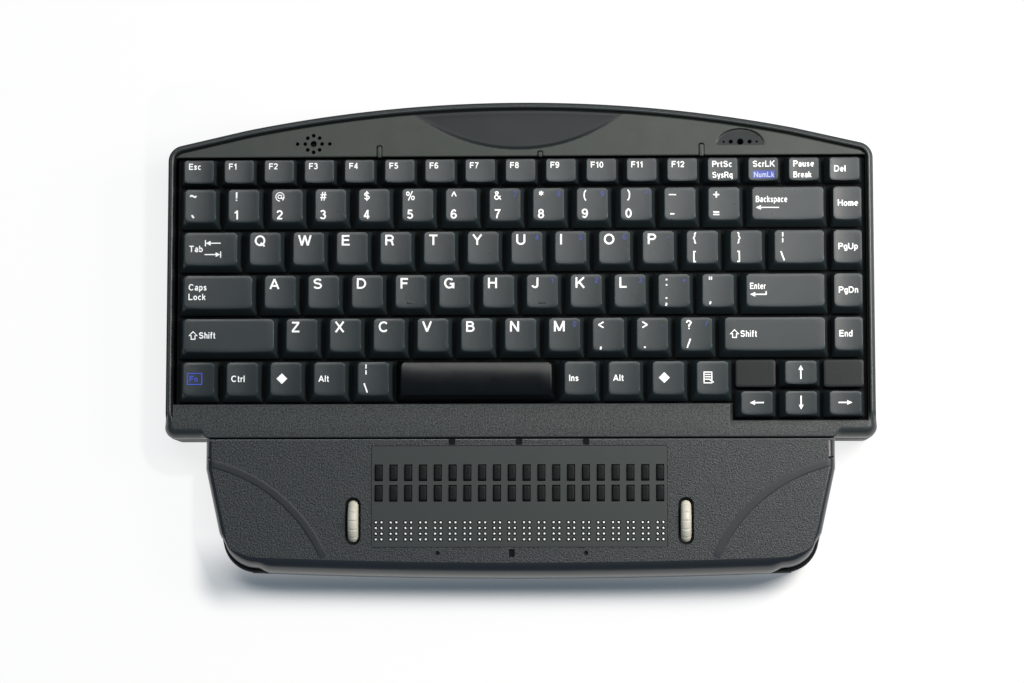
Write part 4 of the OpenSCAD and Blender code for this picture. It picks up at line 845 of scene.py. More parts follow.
@dataclass
class RearPanel:
    """The smooth panel behind the keys: shallow lens recess, speaker holes, microphone scoop, three tabs."""

    finishes: Finishes
    case: KeyboardCase
    front_y: float = 79.6
    top_z: float = 30.0
    under_z: float = 28.4
    lens_y: float = 156.8
    lens_r: float = 74.6
    lens_d: float = 0.7
    shelf_w: float = 2.2
    line_y: float = 85.5
    speaker_x: float = -90.3
    microphone_x: float = 96.7
    half_w: float = 150.8
    scoop_from: float = 1.6
    scoop_w: float = 10.9
    scoop_l: float = 7.6
    scoop_d: float = 0.9
    scoop_run: float = 6.5
    drill_low: float = 27.0
    drill_high: float = 32.0

    def rear_y(self, x: Array) -> Array:
        """Y of the panel's rear edge, just inside the rim."""
        loop = self.case.outline()
        edge = loop - outward(loop) * (self.case.rim_w + 0.2)
        edge = edge[edge[:, 1] > 70.0]
        edge = edge[np.argsort(edge[:, 0])]
        return np.interp(x, edge[:, 0], edge[:, 1])

    def scoop_share(self, x: Array, y: Array) -> Array:
        """Above 0 inside the microphone's scoop: half an ellipse that stands on the line of its holes."""
        foot = self.line_y - self.scoop_from
        up = np.maximum(y - foot, 0.0)
        oval = 1.0 - ((x - self.microphone_x) / self.scoop_w) ** 2 - (up / self.scoop_l) ** 2
        return np.where(y > foot, oval, -1.0)

    def depth(self, x: Array, y: Array, rear: Array) -> Array:
        """Depth of the surface below the panel's top.

        The lens is a circle's end with a sloping shelf, deepest at the shelf and level with the panel at the rear;
        the microphone lies in a scoop that slopes down from its holes to its rear edge.
        """
        inside = self.lens_r - np.hypot(x, y - self.lens_y)
        start = self.lens_y - self.lens_r + self.shelf_w
        fade = np.clip((rear - 1.5 - y) / (rear - 1.5 - start), 0.0, 1.0) ** 0.7
        lens = self.lens_d * step(0.0, self.shelf_w, inside) * fade
        run = np.clip((y - self.line_y + self.scoop_from) / self.scoop_run, 0.0, 1.0)
        scoop = self.scoop_d * step(0.0, 0.14, self.scoop_share(x, y)) * run
        edge = np.minimum(y - self.front_y, rear - y)
        return lens + scoop + 0.25 * np.clip(1.0 - edge / 0.4, 0.0, 1.0) ** 2

    def build(self) -> None:
        """Builds the panel as one closed grid, drills it and places it with its tabs."""
        x = np.unique(np.concatenate([np.linspace(-self.half_w, self.half_w, 420), np.linspace(85.0, 108.0, 60)]))
        share = np.unique(np.concatenate([np.linspace(0.0, 1.0, 50), [0.008, 0.016, 0.984, 0.992]]))
        rear = np.maximum(self.rear_y(x), self.front_y + 0.6)
        y = self.front_y + share[:, None] * (rear - self.front_y)
        across = np.broadcast_to(x, y.shape)
        top = np.stack([across, y, self.top_z - self.depth(across, y, rear[None])], -1)
        brim = np.concatenate([top[0], top[1:, -1], top[-1, -2::-1], top[-2:0:-1, 0]])
        foot = lifted(brim[:, :2], self.under_z)
        form = Form()
        form.grid(top)
        # Faces inside the lens and the microphone scoop take the darker finish 1: painted shade of these shallow
        # recesses.
        spot = (top[:-1, :-1] + top[1:, 1:]) / 2
        inside = np.hypot(spot[..., 0], spot[..., 1] - self.lens_y) < self.lens_r - 0.3
        dark = inside | (self.scoop_share(spot[..., 0], spot[..., 1]) > 0.06)
        form.slots = dark.reshape(-1).astype(int).tolist()
        form.grid(np.stack([foot, brim]), around=True)
        form.lid(foot, False)
        piece = form.build("rear_cover", [self.finishes["panel_smooth"], self.finishes["recess_painted_shade"]], 30.0)
        carve(piece, self.drills().build("drills", []), 30.0)
        place(piece, "main", "panel_plastic", "rear_panel")
        self.tabs()

    def drills(self) -> Form:
        """Upright rods for the speaker's and the microphone's holes, and blocks for the tab notches."""
        ring = np.radians(np.arange(8) * 45.0)
        form = Form()
        sets = (
            (np.array([[self.speaker_x, self.line_y]]), 1.4),
            (np.stack([self.speaker_x + 3.7 * np.cos(ring), self.line_y + 3.7 * np.sin(ring)], 1), 0.85),
            (np.array([[self.speaker_x - 7.1, self.line_y], [self.speaker_x + 7.1, self.line_y]]), 0.8),
            (np.array([[self.microphone_x, self.line_y]]), 1.45),
            (np.array([[self.microphone_x - 4.1, self.line_y], [self.microphone_x + 4.1, self.line_y]]), 0.92),
            (np.array([[self.microphone_x - 7.2, self.line_y], [self.microphone_x + 7.2, self.line_y]]), 0.5),
        )
        height = np.array([self.drill_low, self.drill_high])
        for centre, radius in sets:
            form.solid(lathe(centre, np.full(2, radius), height, 20))
        for x, width, length in self.notches():
            middle, half = [x, self.front_y + length / 2 - 1.0], [width / 2, length / 2 + 1.0]
            form.solid(blocks(np.array(middle), np.array(half), 0.9, height[None], 2, 5))
        return form

    def notches(self) -> Sequence[tuple[float, float, float]]:
        """X, width and length of the notches round the three tabs."""
        return ((-61.3, 2.6, 5.2), (9.3, 2.6, 2.5), (79.8, 2.6, 5.5))

    def tabs(self) -> None:
        """The three tabs in their notches, each a rounded tongue."""
        places = np.array(self.notches())
        centre = np.stack([places[:, 0], self.front_y + places[:, 2] / 2 - 0.35], 1)
        half = np.stack([places[:, 1] / 2 - 0.35, places[:, 2] / 2 - 0.05], 1)
        drop = np.array([0.0, 0.0, 0.1, 0.25])
        height = np.array([28.2, 29.7, 29.9, 29.95])
        stack = blocks(centre[:, None], half[:, None] - drop[None, :, None], 0.7, height, 2, 5)
        place(Form().solid(stack).build("panel_tabs", [self.finishes["panel_smooth"]]), "main", "panel_plastic")


class InkColour(Enum):
    """Colours of the legends."""

    WHITE = "ink_white"
    BLUE = "ink_blue"
    PAD = "ink_pad"
    PALE = "ink_pale"


class Spot(Enum):
    """Where a legend stands on a key's top: across and up, each with what it is counted from, then its size.

    The size is the legend's height in mm and its breadth as a factor.
    """

    LETTER = ("left", 2.2, "back", 1.3, 4.6, 1.03)
    SHIFTED = ("mid", 3.55, "back", 1.2, 3.9, 1.0)
    PLAIN = ("mid", 3.45, "front", 1.0, 4.0, 1.0)
    FUNCTION = ("left", 1.95, "back", 1.4, 2.65, 0.95)
    SECOND = ("left", 1.95, "back", 6.2, 2.6, 0.88)
    WORD = ("left", 2.0, "centre", 0.0, 2.75, 0.96)
    WORD_UP = ("left", 2.0, "centre", 2.1, 2.75, 0.96)
    WORD_DOWN = ("left", 2.0, "centre", -2.1, 2.75, 0.96)
    UPPER_WORD = ("left", 1.6, "back", 4.0, 2.7, 0.79)
    LOWER_SIGN = ("left", 1.6, "back", 8.0, 2.1, 1.0)
    BLOCK_ARROW = ("left", 2.2, "centre", 0.0, 3.7, 1.0)
    BESIDE = ("left", 6.7, "centre", 0.0, 2.75, 0.92)
    TAB_SIGNS = ("left", 8.8, "centre", 0.0, 7.8, 1.0)
    BOXED = ("left", 2.8, "centre", 0.0, 2.6, 1.0)
    BOX = ("left", 1.9, "centre", 0.0, 4.8, 1.0)
    PLATE = ("left", 1.9, "back", 5.7, 3.4, 1.0)
    ON_PLATE = ("left", 2.4, "back", 6.3, 2.3, 0.95)
    SIGN = ("mid", 5.0, "centre", 0.0, 4.7, 1.0)
    TALL_ARROW = ("middle", 0.0, "centre", 0.0, 6.0, 1.0)
    LONG_ARROW = ("middle", 0.0, "centre", 0.0, 2.1, 1.0)
    PAD = ("far", 2.4, "back", 1.5, 2.3, 1.0)


@dataclass(frozen=True)
class CapShape:
    """Slopes and top of one kind of keycap."""

    side: float = 2.15
    shift: float = 0.35
    front: float = 2.75
    back: float = 0.8
    dish: float = 0.45
    roll: float = 0.0
    bow: float = 0.3
    top: float = 34.0
    skirt: float = 28.5
    corner: float = 1.7


@dataclass(frozen=True)
class Row:
    """One group of keys: its solid, its cells as left, front, width and depth, its shape and its legends."""

    node: str
    cells: Array
    shape: CapShape
    legends: Sequence[Sequence[tuple[str, Spot, InkColour]]]
    finish: str = "key_plastic"
    slot: str = "key_plastic"

    @property
    def middles(self) -> Array:
        """Middle of each cell, K x 2."""
        return self.cells[:, :2] + self.cells[:, 2:] / 2

    @property
    def joint(self) -> str:
        """The joint that these keys are pressed by."""
        return self.node + "_press"

    @property
    def body(self) -> str:
        """The body that these keys are."""
        return self.node + ("_group" if self.node.endswith("_keys") else "_cap")


def line(*points: tuple[float, float]) -> Array:
    """A stroke of straight pieces."""
    return np.array(points, float)


def limbs(*points: tuple[float, float]) -> tuple[Array, ...]:
    """Straight strokes from point to point, each cut square."""
    return tuple(line(start, end) for start, end in zip(points, points[1:]))


def bow(x: float, y: float, wide: float, tall: float, start: float = 0.0, end: float = 360.0) -> Array:
    """A stroke along an ellipse, between two angles in degrees."""
    turn = np.radians(np.linspace(start, end, 4 + int(abs(end - start) / 18)))
    return np.stack([x + wide * np.cos(turn), y + tall * np.sin(turn)], 1)


def soft(*points: tuple[float, float]) -> Array:
    """A stroke that runs smoothly through points: a cubic between each two, with slopes from their neighbours."""
    knots = np.array(points, float)
    wide = np.concatenate([knots[:1], knots, knots[-1:]])
    before, first, second, after = wide[:-3], wide[1:-2], wide[2:-1], wide[3:]
    share = np.linspace(0.0, 1.0, 6, endpoint=False)[None, :, None]
    curve = (first[:, None] + 0.5 * share * ((second - before)[:, None]
             + share * ((2 * before - 5 * first + 4 * second - after)[:, None]
                        + share * (3 * first - 3 * second + after - before)[:, None])))
    return np.concatenate([curve.reshape(-1, 2), knots[-1:]])


@dataclass(frozen=True)
class Glyph:
    """One sign in units of the capitals' height: its width, its strokes, their weight, and its filled shapes."""

    width: float
    strokes: tuple[Array, ...] = ()
    weight: float = 0.17
    fills: tuple[Array, ...] = ()


class Lettering:
    """Legends as thin closed letters, drawn with strokes of one weight."""

    thickness: float = 0.07
    gap: float = 0.15

    def __init__(self) -> None:
        """Draws the signs."""
        self.glyphs = {**self.capitals(), **self.small(), **self.digits(), **self.signs(), **self.icons()}

    @staticmethod
    def stem(x: float, low: float = 0.0, high: float = 1.0) -> Array:
        """An upright stroke."""
        return line((x, low), (x, high))

    @staticmethod
    def bar(y: float, left: float, right: float) -> Array:
        """A level stroke."""
        return line((left, y), (right, y))

    def capitals(self) -> dict[str, Glyph]:
        """Capital letters."""
        stem, bar = self.stem, self.bar
        bowl = joined(line((0.08, 0.92), (0.44, 0.92)), bow(0.44, 0.7, 0.24, 0.22, 90, -90), line((0.08, 0.48)))
        curl = joined(bow(0.4, 0.72, 0.29, 0.2, 20, 270), bow(0.4, 0.29, 0.31, 0.22, 90, -165))
        return {
            "A": Glyph(0.86, (*limbs((0.05, 0.0), (0.43, 0.96), (0.81, 0.0)), bar(0.3, 0.18, 0.68))),
            "B": Glyph(0.76, (stem(0.08), joined(line((0.08, 0.92), (0.4, 0.92)), bow(0.4, 0.73, 0.21, 0.19, 90, -90),
                                                 line((0.08, 0.54))),
                              joined(line((0.4, 0.54)), bow(0.43, 0.31, 0.25, 0.23, 90, -90), line((0.08, 0.08))))),
            "C": Glyph(0.86, (bow(0.46, 0.5, 0.38, 0.43, 42, 318),)),
            "D": Glyph(0.84, (stem(0.08), joined(line((0.08, 0.92), (0.36, 0.92)), bow(0.36, 0.5, 0.4, 0.42, 90, -90),
                                                 line((0.08, 0.08))))),
            "E": Glyph(0.72, (stem(0.08), bar(0.92, 0.08, 0.7), bar(0.52, 0.08, 0.66), bar(0.08, 0.08, 0.72))),
            "F": Glyph(0.68, (stem(0.08), bar(0.92, 0.08, 0.68), bar(0.5, 0.08, 0.62))),
            "G": Glyph(0.92, (bow(0.46, 0.5, 0.38, 0.43, 42, 335), line((0.5, 0.44), (0.84, 0.44), (0.84, 0.0)))),
            "H": Glyph(0.82, (stem(0.08), stem(0.74), bar(0.52, 0.08, 0.74))),
            "I": Glyph(0.16, (stem(0.08),)),
            "J": Glyph(0.6, (joined(line((0.52, 1.0)), bow(0.29, 0.3, 0.23, 0.23, 0, -170)),)),
            "K": Glyph(0.82, (stem(0.08), line((0.76, 1.0), (0.1, 0.36)), line((0.32, 0.56), (0.78, 0.0)))),
            "L": Glyph(0.66, (line((0.08, 1.0), (0.08, 0.08), (0.66, 0.08)),)),
            "M": Glyph(0.98, (stem(0.08), stem(0.9), *limbs((0.1, 0.96), (0.49, 0.06), (0.88, 0.96)))),
            "N": Glyph(0.82, (stem(0.08), stem(0.74), line((0.1, 0.96), (0.72, 0.04)))),
            "O": Glyph(0.96, (bow(0.48, 0.5, 0.4, 0.43),)),
            "P": Glyph(0.74, (stem(0.08), bowl)),
            "Q": Glyph(0.96, (bow(0.48, 0.5, 0.4, 0.43), line((0.54, 0.28), (0.9, -0.03)))),
            "R": Glyph(0.8, (stem(0.08), bowl, line((0.44, 0.48), (0.6, 0.36), (0.66, 0.1), (0.74, 0.0)))),
            "S": Glyph(0.8, (curl,)),
            "T": Glyph(0.8, (bar(0.92, 0.02, 0.78), stem(0.4))),
            "U": Glyph(0.82, (joined(line((0.08, 1.0)), bow(0.41, 0.36, 0.33, 0.29, 180, 360), line((0.74, 1.0))),)),
            "V": Glyph(0.84, limbs((0.05, 1.0), (0.42, 0.03), (0.79, 1.0))),
            "W": Glyph(1.2, limbs((0.06, 1.0), (0.33, 0.02), (0.6, 0.98), (0.87, 0.02), (1.14, 1.0))),
            "X": Glyph(0.84, (line((0.06, 0.0), (0.78, 1.0)), line((0.06, 1.0), (0.78, 0.0)))),
            "Y": Glyph(0.84, (line((0.04, 1.0), (0.42, 0.46), (0.8, 1.0)), stem(0.42, 0.0, 0.5))),
            "Z": Glyph(0.78, (bar(0.92, 0.06, 0.72), line((0.68, 0.9), (0.09, 0.1)), bar(0.08, 0.05, 0.74))),
        }

    def small(self) -> dict[str, Glyph]:
        """Small letters."""
        stem, bar = self.stem, self.bar
        arch = soft((0.08, 0.45), (0.18, 0.62), (0.32, 0.65), (0.45, 0.5), (0.46, 0.0))
        return {
            "a": Glyph(0.56, (soft((0.1, 0.54), (0.27, 0.66), (0.45, 0.55), (0.46, 0.0)),
                              bow(0.26, 0.21, 0.19, 0.15))),
            "b": Glyph(0.58, (stem(0.08), bow(0.3, 0.35, 0.22, 0.29))),
            "c": Glyph(0.54, (bow(0.3, 0.35, 0.22, 0.29, 45, 315),)),
            "d": Glyph(0.58, (stem(0.5), bow(0.28, 0.35, 0.22, 0.29))),
            "e": Glyph(0.58, (bow(0.3, 0.35, 0.22, 0.29, 5, 315), bar(0.37, 0.08, 0.52))),
            "f": Glyph(0.36, (soft((0.36, 0.94), (0.24, 0.94), (0.17, 0.82), (0.17, 0.0)), bar(0.64, 0.02, 0.34))),
            "g": Glyph(0.58, (bow(0.28, 0.35, 0.22, 0.29),
                              soft((0.5, 0.7), (0.5, 0.0), (0.42, -0.17), (0.12, -0.16)))),
            "h": Glyph(0.54, (stem(0.08), arch)),
            "i": Glyph(0.16, (stem(0.08, 0.0, 0.7), stem(0.08, 0.85, 1.0))),
            "k": Glyph(0.54, (stem(0.08), line((0.48, 0.68), (0.1, 0.3)), line((0.22, 0.42), (0.5, 0.0)))),
            "l": Glyph(0.16, (stem(0.08),)),
            "m": Glyph(0.84, (stem(0.08, 0.0, 0.7), arch * np.array([0.9, 1.0]),
                              arch * np.array([0.9, 1.0]) + np.array([0.34, 0.0]))),
            "n": Glyph(0.54, (stem(0.08, 0.0, 0.7), arch)),
            "o": Glyph(0.6, (bow(0.3, 0.35, 0.23, 0.29),)),
            "p": Glyph(0.58, (stem(0.08, -0.26, 0.7), bow(0.3, 0.35, 0.22, 0.29))),
            "q": Glyph(0.58, (stem(0.5, -0.26, 0.7), bow(0.28, 0.35, 0.22, 0.29))),
            "r": Glyph(0.36, (stem(0.08, 0.0, 0.7), soft((0.08, 0.4), (0.18, 0.6), (0.36, 0.64)))),
            "s": Glyph(0.52, (soft((0.44, 0.52), (0.26, 0.65), (0.1, 0.53), (0.26, 0.36), (0.43, 0.2), (0.26, 0.06),
                                   (0.06, 0.17)),)),
            "t": Glyph(0.36, (soft((0.17, 0.92), (0.17, 0.2), (0.22, 0.07), (0.35, 0.07)), bar(0.64, 0.02, 0.34))),
            "u": Glyph(0.54, (soft((0.08, 0.7), (0.08, 0.22), (0.22, 0.06), (0.46, 0.24)), stem(0.46, 0.0, 0.7))),
            "y": Glyph(0.54, (line((0.03, 0.7), (0.28, 0.03)), line((0.52, 0.7), (0.2, -0.25)))),
        }

    def digits(self) -> dict[str, Glyph]:
        """Figures."""
        stem, bar = self.stem, self.bar
        six = (bow(0.33, 0.31, 0.25, 0.24), soft((0.56, 0.8), (0.38, 0.93), (0.2, 0.84), (0.09, 0.6), (0.08, 0.31)))
        return {
            "0": Glyph(0.66, (bow(0.33, 0.5, 0.25, 0.43),)),
            "1": Glyph(0.5, (stem(0.36), soft((0.08, 0.74), (0.26, 0.8), (0.35, 0.96)))),
            "2": Glyph(0.66, (joined(bow(0.33, 0.68, 0.25, 0.25, 170, -25), line((0.1, 0.1))),
                              bar(0.08, 0.05, 0.62))),
            "3": Glyph(0.66, (bow(0.31, 0.73, 0.22, 0.2, 160, -90), bow(0.31, 0.3, 0.26, 0.23, 90, -160))),
            "4": Glyph(0.66, (stem(0.46), line((0.44, 0.94), (0.09, 0.32)), bar(0.27, 0.03, 0.64))),
            "5": Glyph(0.66, (line((0.57, 0.92), (0.18, 0.92), (0.12, 0.5)), bow(0.31, 0.33, 0.26, 0.26, 135, -155))),
            "6": Glyph(0.66, six),
            "7": Glyph(0.64, (line((0.05, 0.92), (0.58, 0.92), (0.34, 0.46), (0.24, 0.0)),)),
            "8": Glyph(0.66, (bow(0.33, 0.73, 0.21, 0.2), bow(0.33, 0.3, 0.25, 0.23))),
            "9": Glyph(0.66, tuple(np.array([0.66, 1.0]) - part for part in six)),
        }

    def signs(self) -> dict[str, Glyph]:
        """Signs of the letter keys."""
        stem, bar = self.stem, self.bar
        curl = joined(bow(0.34, 0.7, 0.24, 0.17, 20, 270), bow(0.34, 0.34, 0.26, 0.19, 90, -165))
        brace = soft((0.34, 1.05), (0.2, 0.98), (0.18, 0.66), (0.05, 0.46), (0.18, 0.26), (0.2, -0.06), (0.34, -0.13))
        star = tuple(line((0.3, 0.72), (0.3 + 0.27 * math.cos(turn), 0.72 + 0.27 * math.sin(turn)))
                     for turn in np.radians(90.0 + 60.0 * np.arange(6)))
        rows = np.array([-1.0, 1.0])
        return {
            "~": Glyph(0.78, (soft((0.05, 0.5), (0.2, 0.64), (0.4, 0.55), (0.58, 0.46), (0.74, 0.6)),), 0.17),
            "`": Glyph(0.34, (line((0.05, 0.5), (0.28, 0.2)),), 0.19),
            "!": Glyph(0.2, (stem(0.1, 0.3), stem(0.1, 0.0, 0.16)), 0.17),
            "@": Glyph(1.06, (bow(0.53, 0.46, 0.46, 0.48, -55, 270), bow(0.5, 0.46, 0.19, 0.2),
                              soft((0.71, 0.68), (0.7, 0.32), (0.84, 0.3), (0.98, 0.5))), 0.1),
            "#": Glyph(0.74, (line((0.16, 0.0), (0.3, 1.0)), line((0.44, 0.0), (0.58, 1.0)), bar(0.66, 0.06, 0.72),
                              bar(0.34, 0.02, 0.68)), 0.12),
            "$": Glyph(0.68, (curl, stem(0.34, -0.05, 1.08)), 0.13),
            "%": Glyph(1.0, (bow(0.22, 0.74, 0.15, 0.2), bow(0.78, 0.26, 0.15, 0.2),
                             line((0.28, -0.03), (0.72, 1.03))), 0.12),
            "^": Glyph(0.58, limbs((0.05, 0.42), (0.29, 0.94), (0.53, 0.42)), 0.14),
            "&": Glyph(0.86, (soft((0.8, 0.02), (0.5, 0.38), (0.2, 0.74), (0.34, 0.93), (0.5, 0.76), (0.3, 0.56),
                                   (0.1, 0.3), (0.26, 0.07), (0.52, 0.14), (0.74, 0.46)),), 0.13),
            "*": Glyph(0.6, star, 0.13),
            "(": Glyph(0.34, (soft((0.28, 1.05), (0.12, 0.78), (0.08, 0.46), (0.12, 0.14), (0.28, -0.13)),), 0.14),
            ")": Glyph(0.34, (soft((0.06, 1.05), (0.22, 0.78), (0.26, 0.46), (0.22, 0.14), (0.06, -0.13)),), 0.14),
            "_": Glyph(0.8, (bar(0.48, 0.0, 0.8),), 0.12),
            "-": Glyph(0.46, (bar(0.4, 0.0, 0.46),), 0.15),
            "+": Glyph(0.72, (bar(0.46, 0.02, 0.7), stem(0.36, 0.12, 0.8)), 0.15),
            "=": Glyph(0.7, (bar(0.3, 0.02, 0.68), bar(0.58, 0.02, 0.68)), 0.15),
            "{": Glyph(0.38, (brace,), 0.13),
            "}": Glyph(0.38, (np.array([0.38, 0.0]) + brace * np.array([-1.0, 1.0]),), 0.13),
            "[": Glyph(0.36, (line((0.32, 1.0), (0.1, 1.0), (0.1, -0.1), (0.32, -0.1)),), 0.14),
            "]": Glyph(0.36, (line((0.04, 1.0), (0.26, 1.0), (0.26, -0.1), (0.04, -0.1)),), 0.14),
            "|": Glyph(0.2, (stem(0.1, 0.58, 1.05), stem(0.1, -0.08, 0.4)), 0.13),
            "\\": Glyph(0.44, (line((0.04, 1.0), (0.4, 0.0)),), 0.15),
            "/": Glyph(0.44, (line((0.4, 1.0), (0.04, 0.0)),), 0.15),
            ":": Glyph(0.2, tuple(stem(0.1, 0.38 + 0.3 * row - 0.09, 0.38 + 0.3 * row + 0.09) for row in rows), 0.18),
            ";": Glyph(0.22, (stem(0.12, 0.59, 0.77), line((0.12, 0.17), (0.12, 0.0), (0.04, -0.16))), 0.17),
            '"': Glyph(0.42, (stem(0.1, 0.64), stem(0.32, 0.64)), 0.13),
            "'": Glyph(0.22, (line((0.12, 0.3), (0.12, 0.14), (0.05, 0.0)),), 0.16),
            "<": Glyph(0.66, limbs((0.62, 0.84), (0.06, 0.52), (0.62, 0.2)), 0.15),
            ">": Glyph(0.66, limbs((0.04, 0.84), (0.6, 0.52), (0.04, 0.2)), 0.15),
            ",": Glyph(0.22, (line((0.12, 0.18), (0.12, 0.0), (0.04, -0.16)),), 0.18),
            ".": Glyph(0.2, (stem(0.1, 0.0, 0.18),), 0.19),
            "?": Glyph(0.64, (soft((0.07, 0.7), (0.14, 0.88), (0.33, 0.93), (0.54, 0.76), (0.44, 0.55), (0.33, 0.44),
                                   (0.33, 0.27)), stem(0.33, 0.0, 0.15))),
        }

    def icons(self) -> dict[str, Glyph]:
        """Arrows and small pictures of the wide keys, each one unit high."""
        stem, bar = self.stem, self.bar
        head = line((0.0, 0.5), (1.05, 0.02), (1.05, 0.98))
        up = line((0.175, 1.0), (0.0, 0.66), (0.35, 0.66))
        swap, turn = np.array([-1.0, 1.0]), np.array([1.0, -1.0])
        small = line((0.0, 0.0), (0.25, -0.14), (0.25, 0.14))
        page = line((0.0, 0.0), (0.0, 1.0), (0.72, 1.0), (0.72, 0.0), (0.0, 0.0))
        box = line((0.0, 0.0), (0.0, 1.0), (1.3, 1.0), (1.3, 0.0), (0.0, 0.0))
        return {
            "left": Glyph(2.86, (bar(0.5, 0.6, 2.86),), 0.27, (head,)),
            "right": Glyph(2.86, (bar(0.5, 0.0, 2.3),), 0.27, ((np.array([2.86, 0.0]) + head * swap)[[0, 2, 1]],)),
            "up": Glyph(0.35, (stem(0.175, 0.0, 0.7),), 0.095, (up,)),
            "down": Glyph(0.35, (stem(0.175, 0.3, 1.0),), 0.095, ((np.array([0.0, 1.0]) + up * turn)[[0, 2, 1]],)),
            "rub_out": Glyph(4.8, (bar(0.5, 0.6, 4.8),), 0.2, (head,)),
            "return": Glyph(3.4, (line((0.6, 0.5), (3.3, 0.5), (3.3, 1.15)),), 0.22, (head,)),
            "block_up": Glyph(1.06, (line((0.53, 0.95), (0.06, 0.48), (0.3, 0.48), (0.3, 0.05), (0.76, 0.05),
                                          (0.76, 0.48), (1.0, 0.48), (0.53, 0.95)),), 0.11),
            "tab_pair": Glyph(0.95, (bar(0.82, 0.08, 0.9), stem(0.04, 0.64, 1.0), bar(0.18, 0.0, 0.84),
                                     stem(0.9, 0.0, 0.36)), 0.06,
                              (small + np.array([0.08, 0.82]), (small * swap + np.array([0.87, 0.18]))[[0, 2, 1]])),
            "diamond": Glyph(1.0, (), 0.1, (line((0.5, 0.0), (1.0, 0.5), (0.5, 1.0), (0.0, 0.5)),)),
            "page": Glyph(0.8, (page, bar(0.78, 0.1, 0.62), bar(0.56, 0.1, 0.62), bar(0.34, 0.1, 0.62),
                                line((0.5, 0.3), (0.9, 0.06))), 0.09),
            "box": Glyph(1.3, (box,), 0.09),
            "plate": Glyph(2.8, (segment((0.0, 0.5), (2.8, 0.5), 13),), 1.0),
        }

    def stroke(self, form: Form, path: Array, weight: float) -> None:
        """Adds a stroke: a flat band of one weight along a path, with mitred bends, as a closed bar.

        Args:
            form: takes the bar.
            path: N x 2 places; a path that ends where it starts is closed.
            weight: the band's width.
        """
        closed = bool(np.allclose(path[0], path[-1], atol=1e-6))
        points = path[:-1] if closed else path
        ahead = np.roll(points, -1, 0) - points
        ahead[-1] = ahead[-1] if closed else ahead[-2]
        ahead /= np.linalg.norm(ahead, axis=1, keepdims=True)
        behind = np.roll(ahead, 1, 0)
        behind[0] = behind[0] if closed else ahead[0]
        mean = ahead + behind
        mean /= np.linalg.norm(mean, axis=1, keepdims=True)
        reach = weight / 2 / np.maximum((mean * ahead).sum(1), 0.6)
        side = np.stack([-mean[:, 1], mean[:, 0]], 1) * reach[:, None]
        rows = np.stack([lifted(points + side, -1.0), lifted(points - side, -1.0), lifted(points - side, 1.0),
                         lifted(points + side, 1.0)])
        form.bar(rows, closed)

    def letters(self, text: str) -> tuple[Array, list[list[int]], float]:
        """A word, or a sign given by its name, as a mesh of unit height.

        Args:
            text: the word or the sign's name.
        Returns:
            Places with the word's left end at X 0 and its foot at Y 0, faces, and the word's width.
        """
        form = Form()
        along = 0.0
        for glyph in [self.glyphs[text]] if text in self.glyphs else [self.glyphs[letter] for letter in text]:
            shift = np.array([along, 0.0])
            for path in glyph.strokes:
                self.stroke(form, path + shift, glyph.weight)
            for outline in glyph.fills:
                form.solid(np.stack([lifted(outline + shift, -1.0), lifted(outline + shift, 1.0)]))
            along += glyph.width + self.gap
        return np.concatenate(form.points), form.faces, along - self.gap


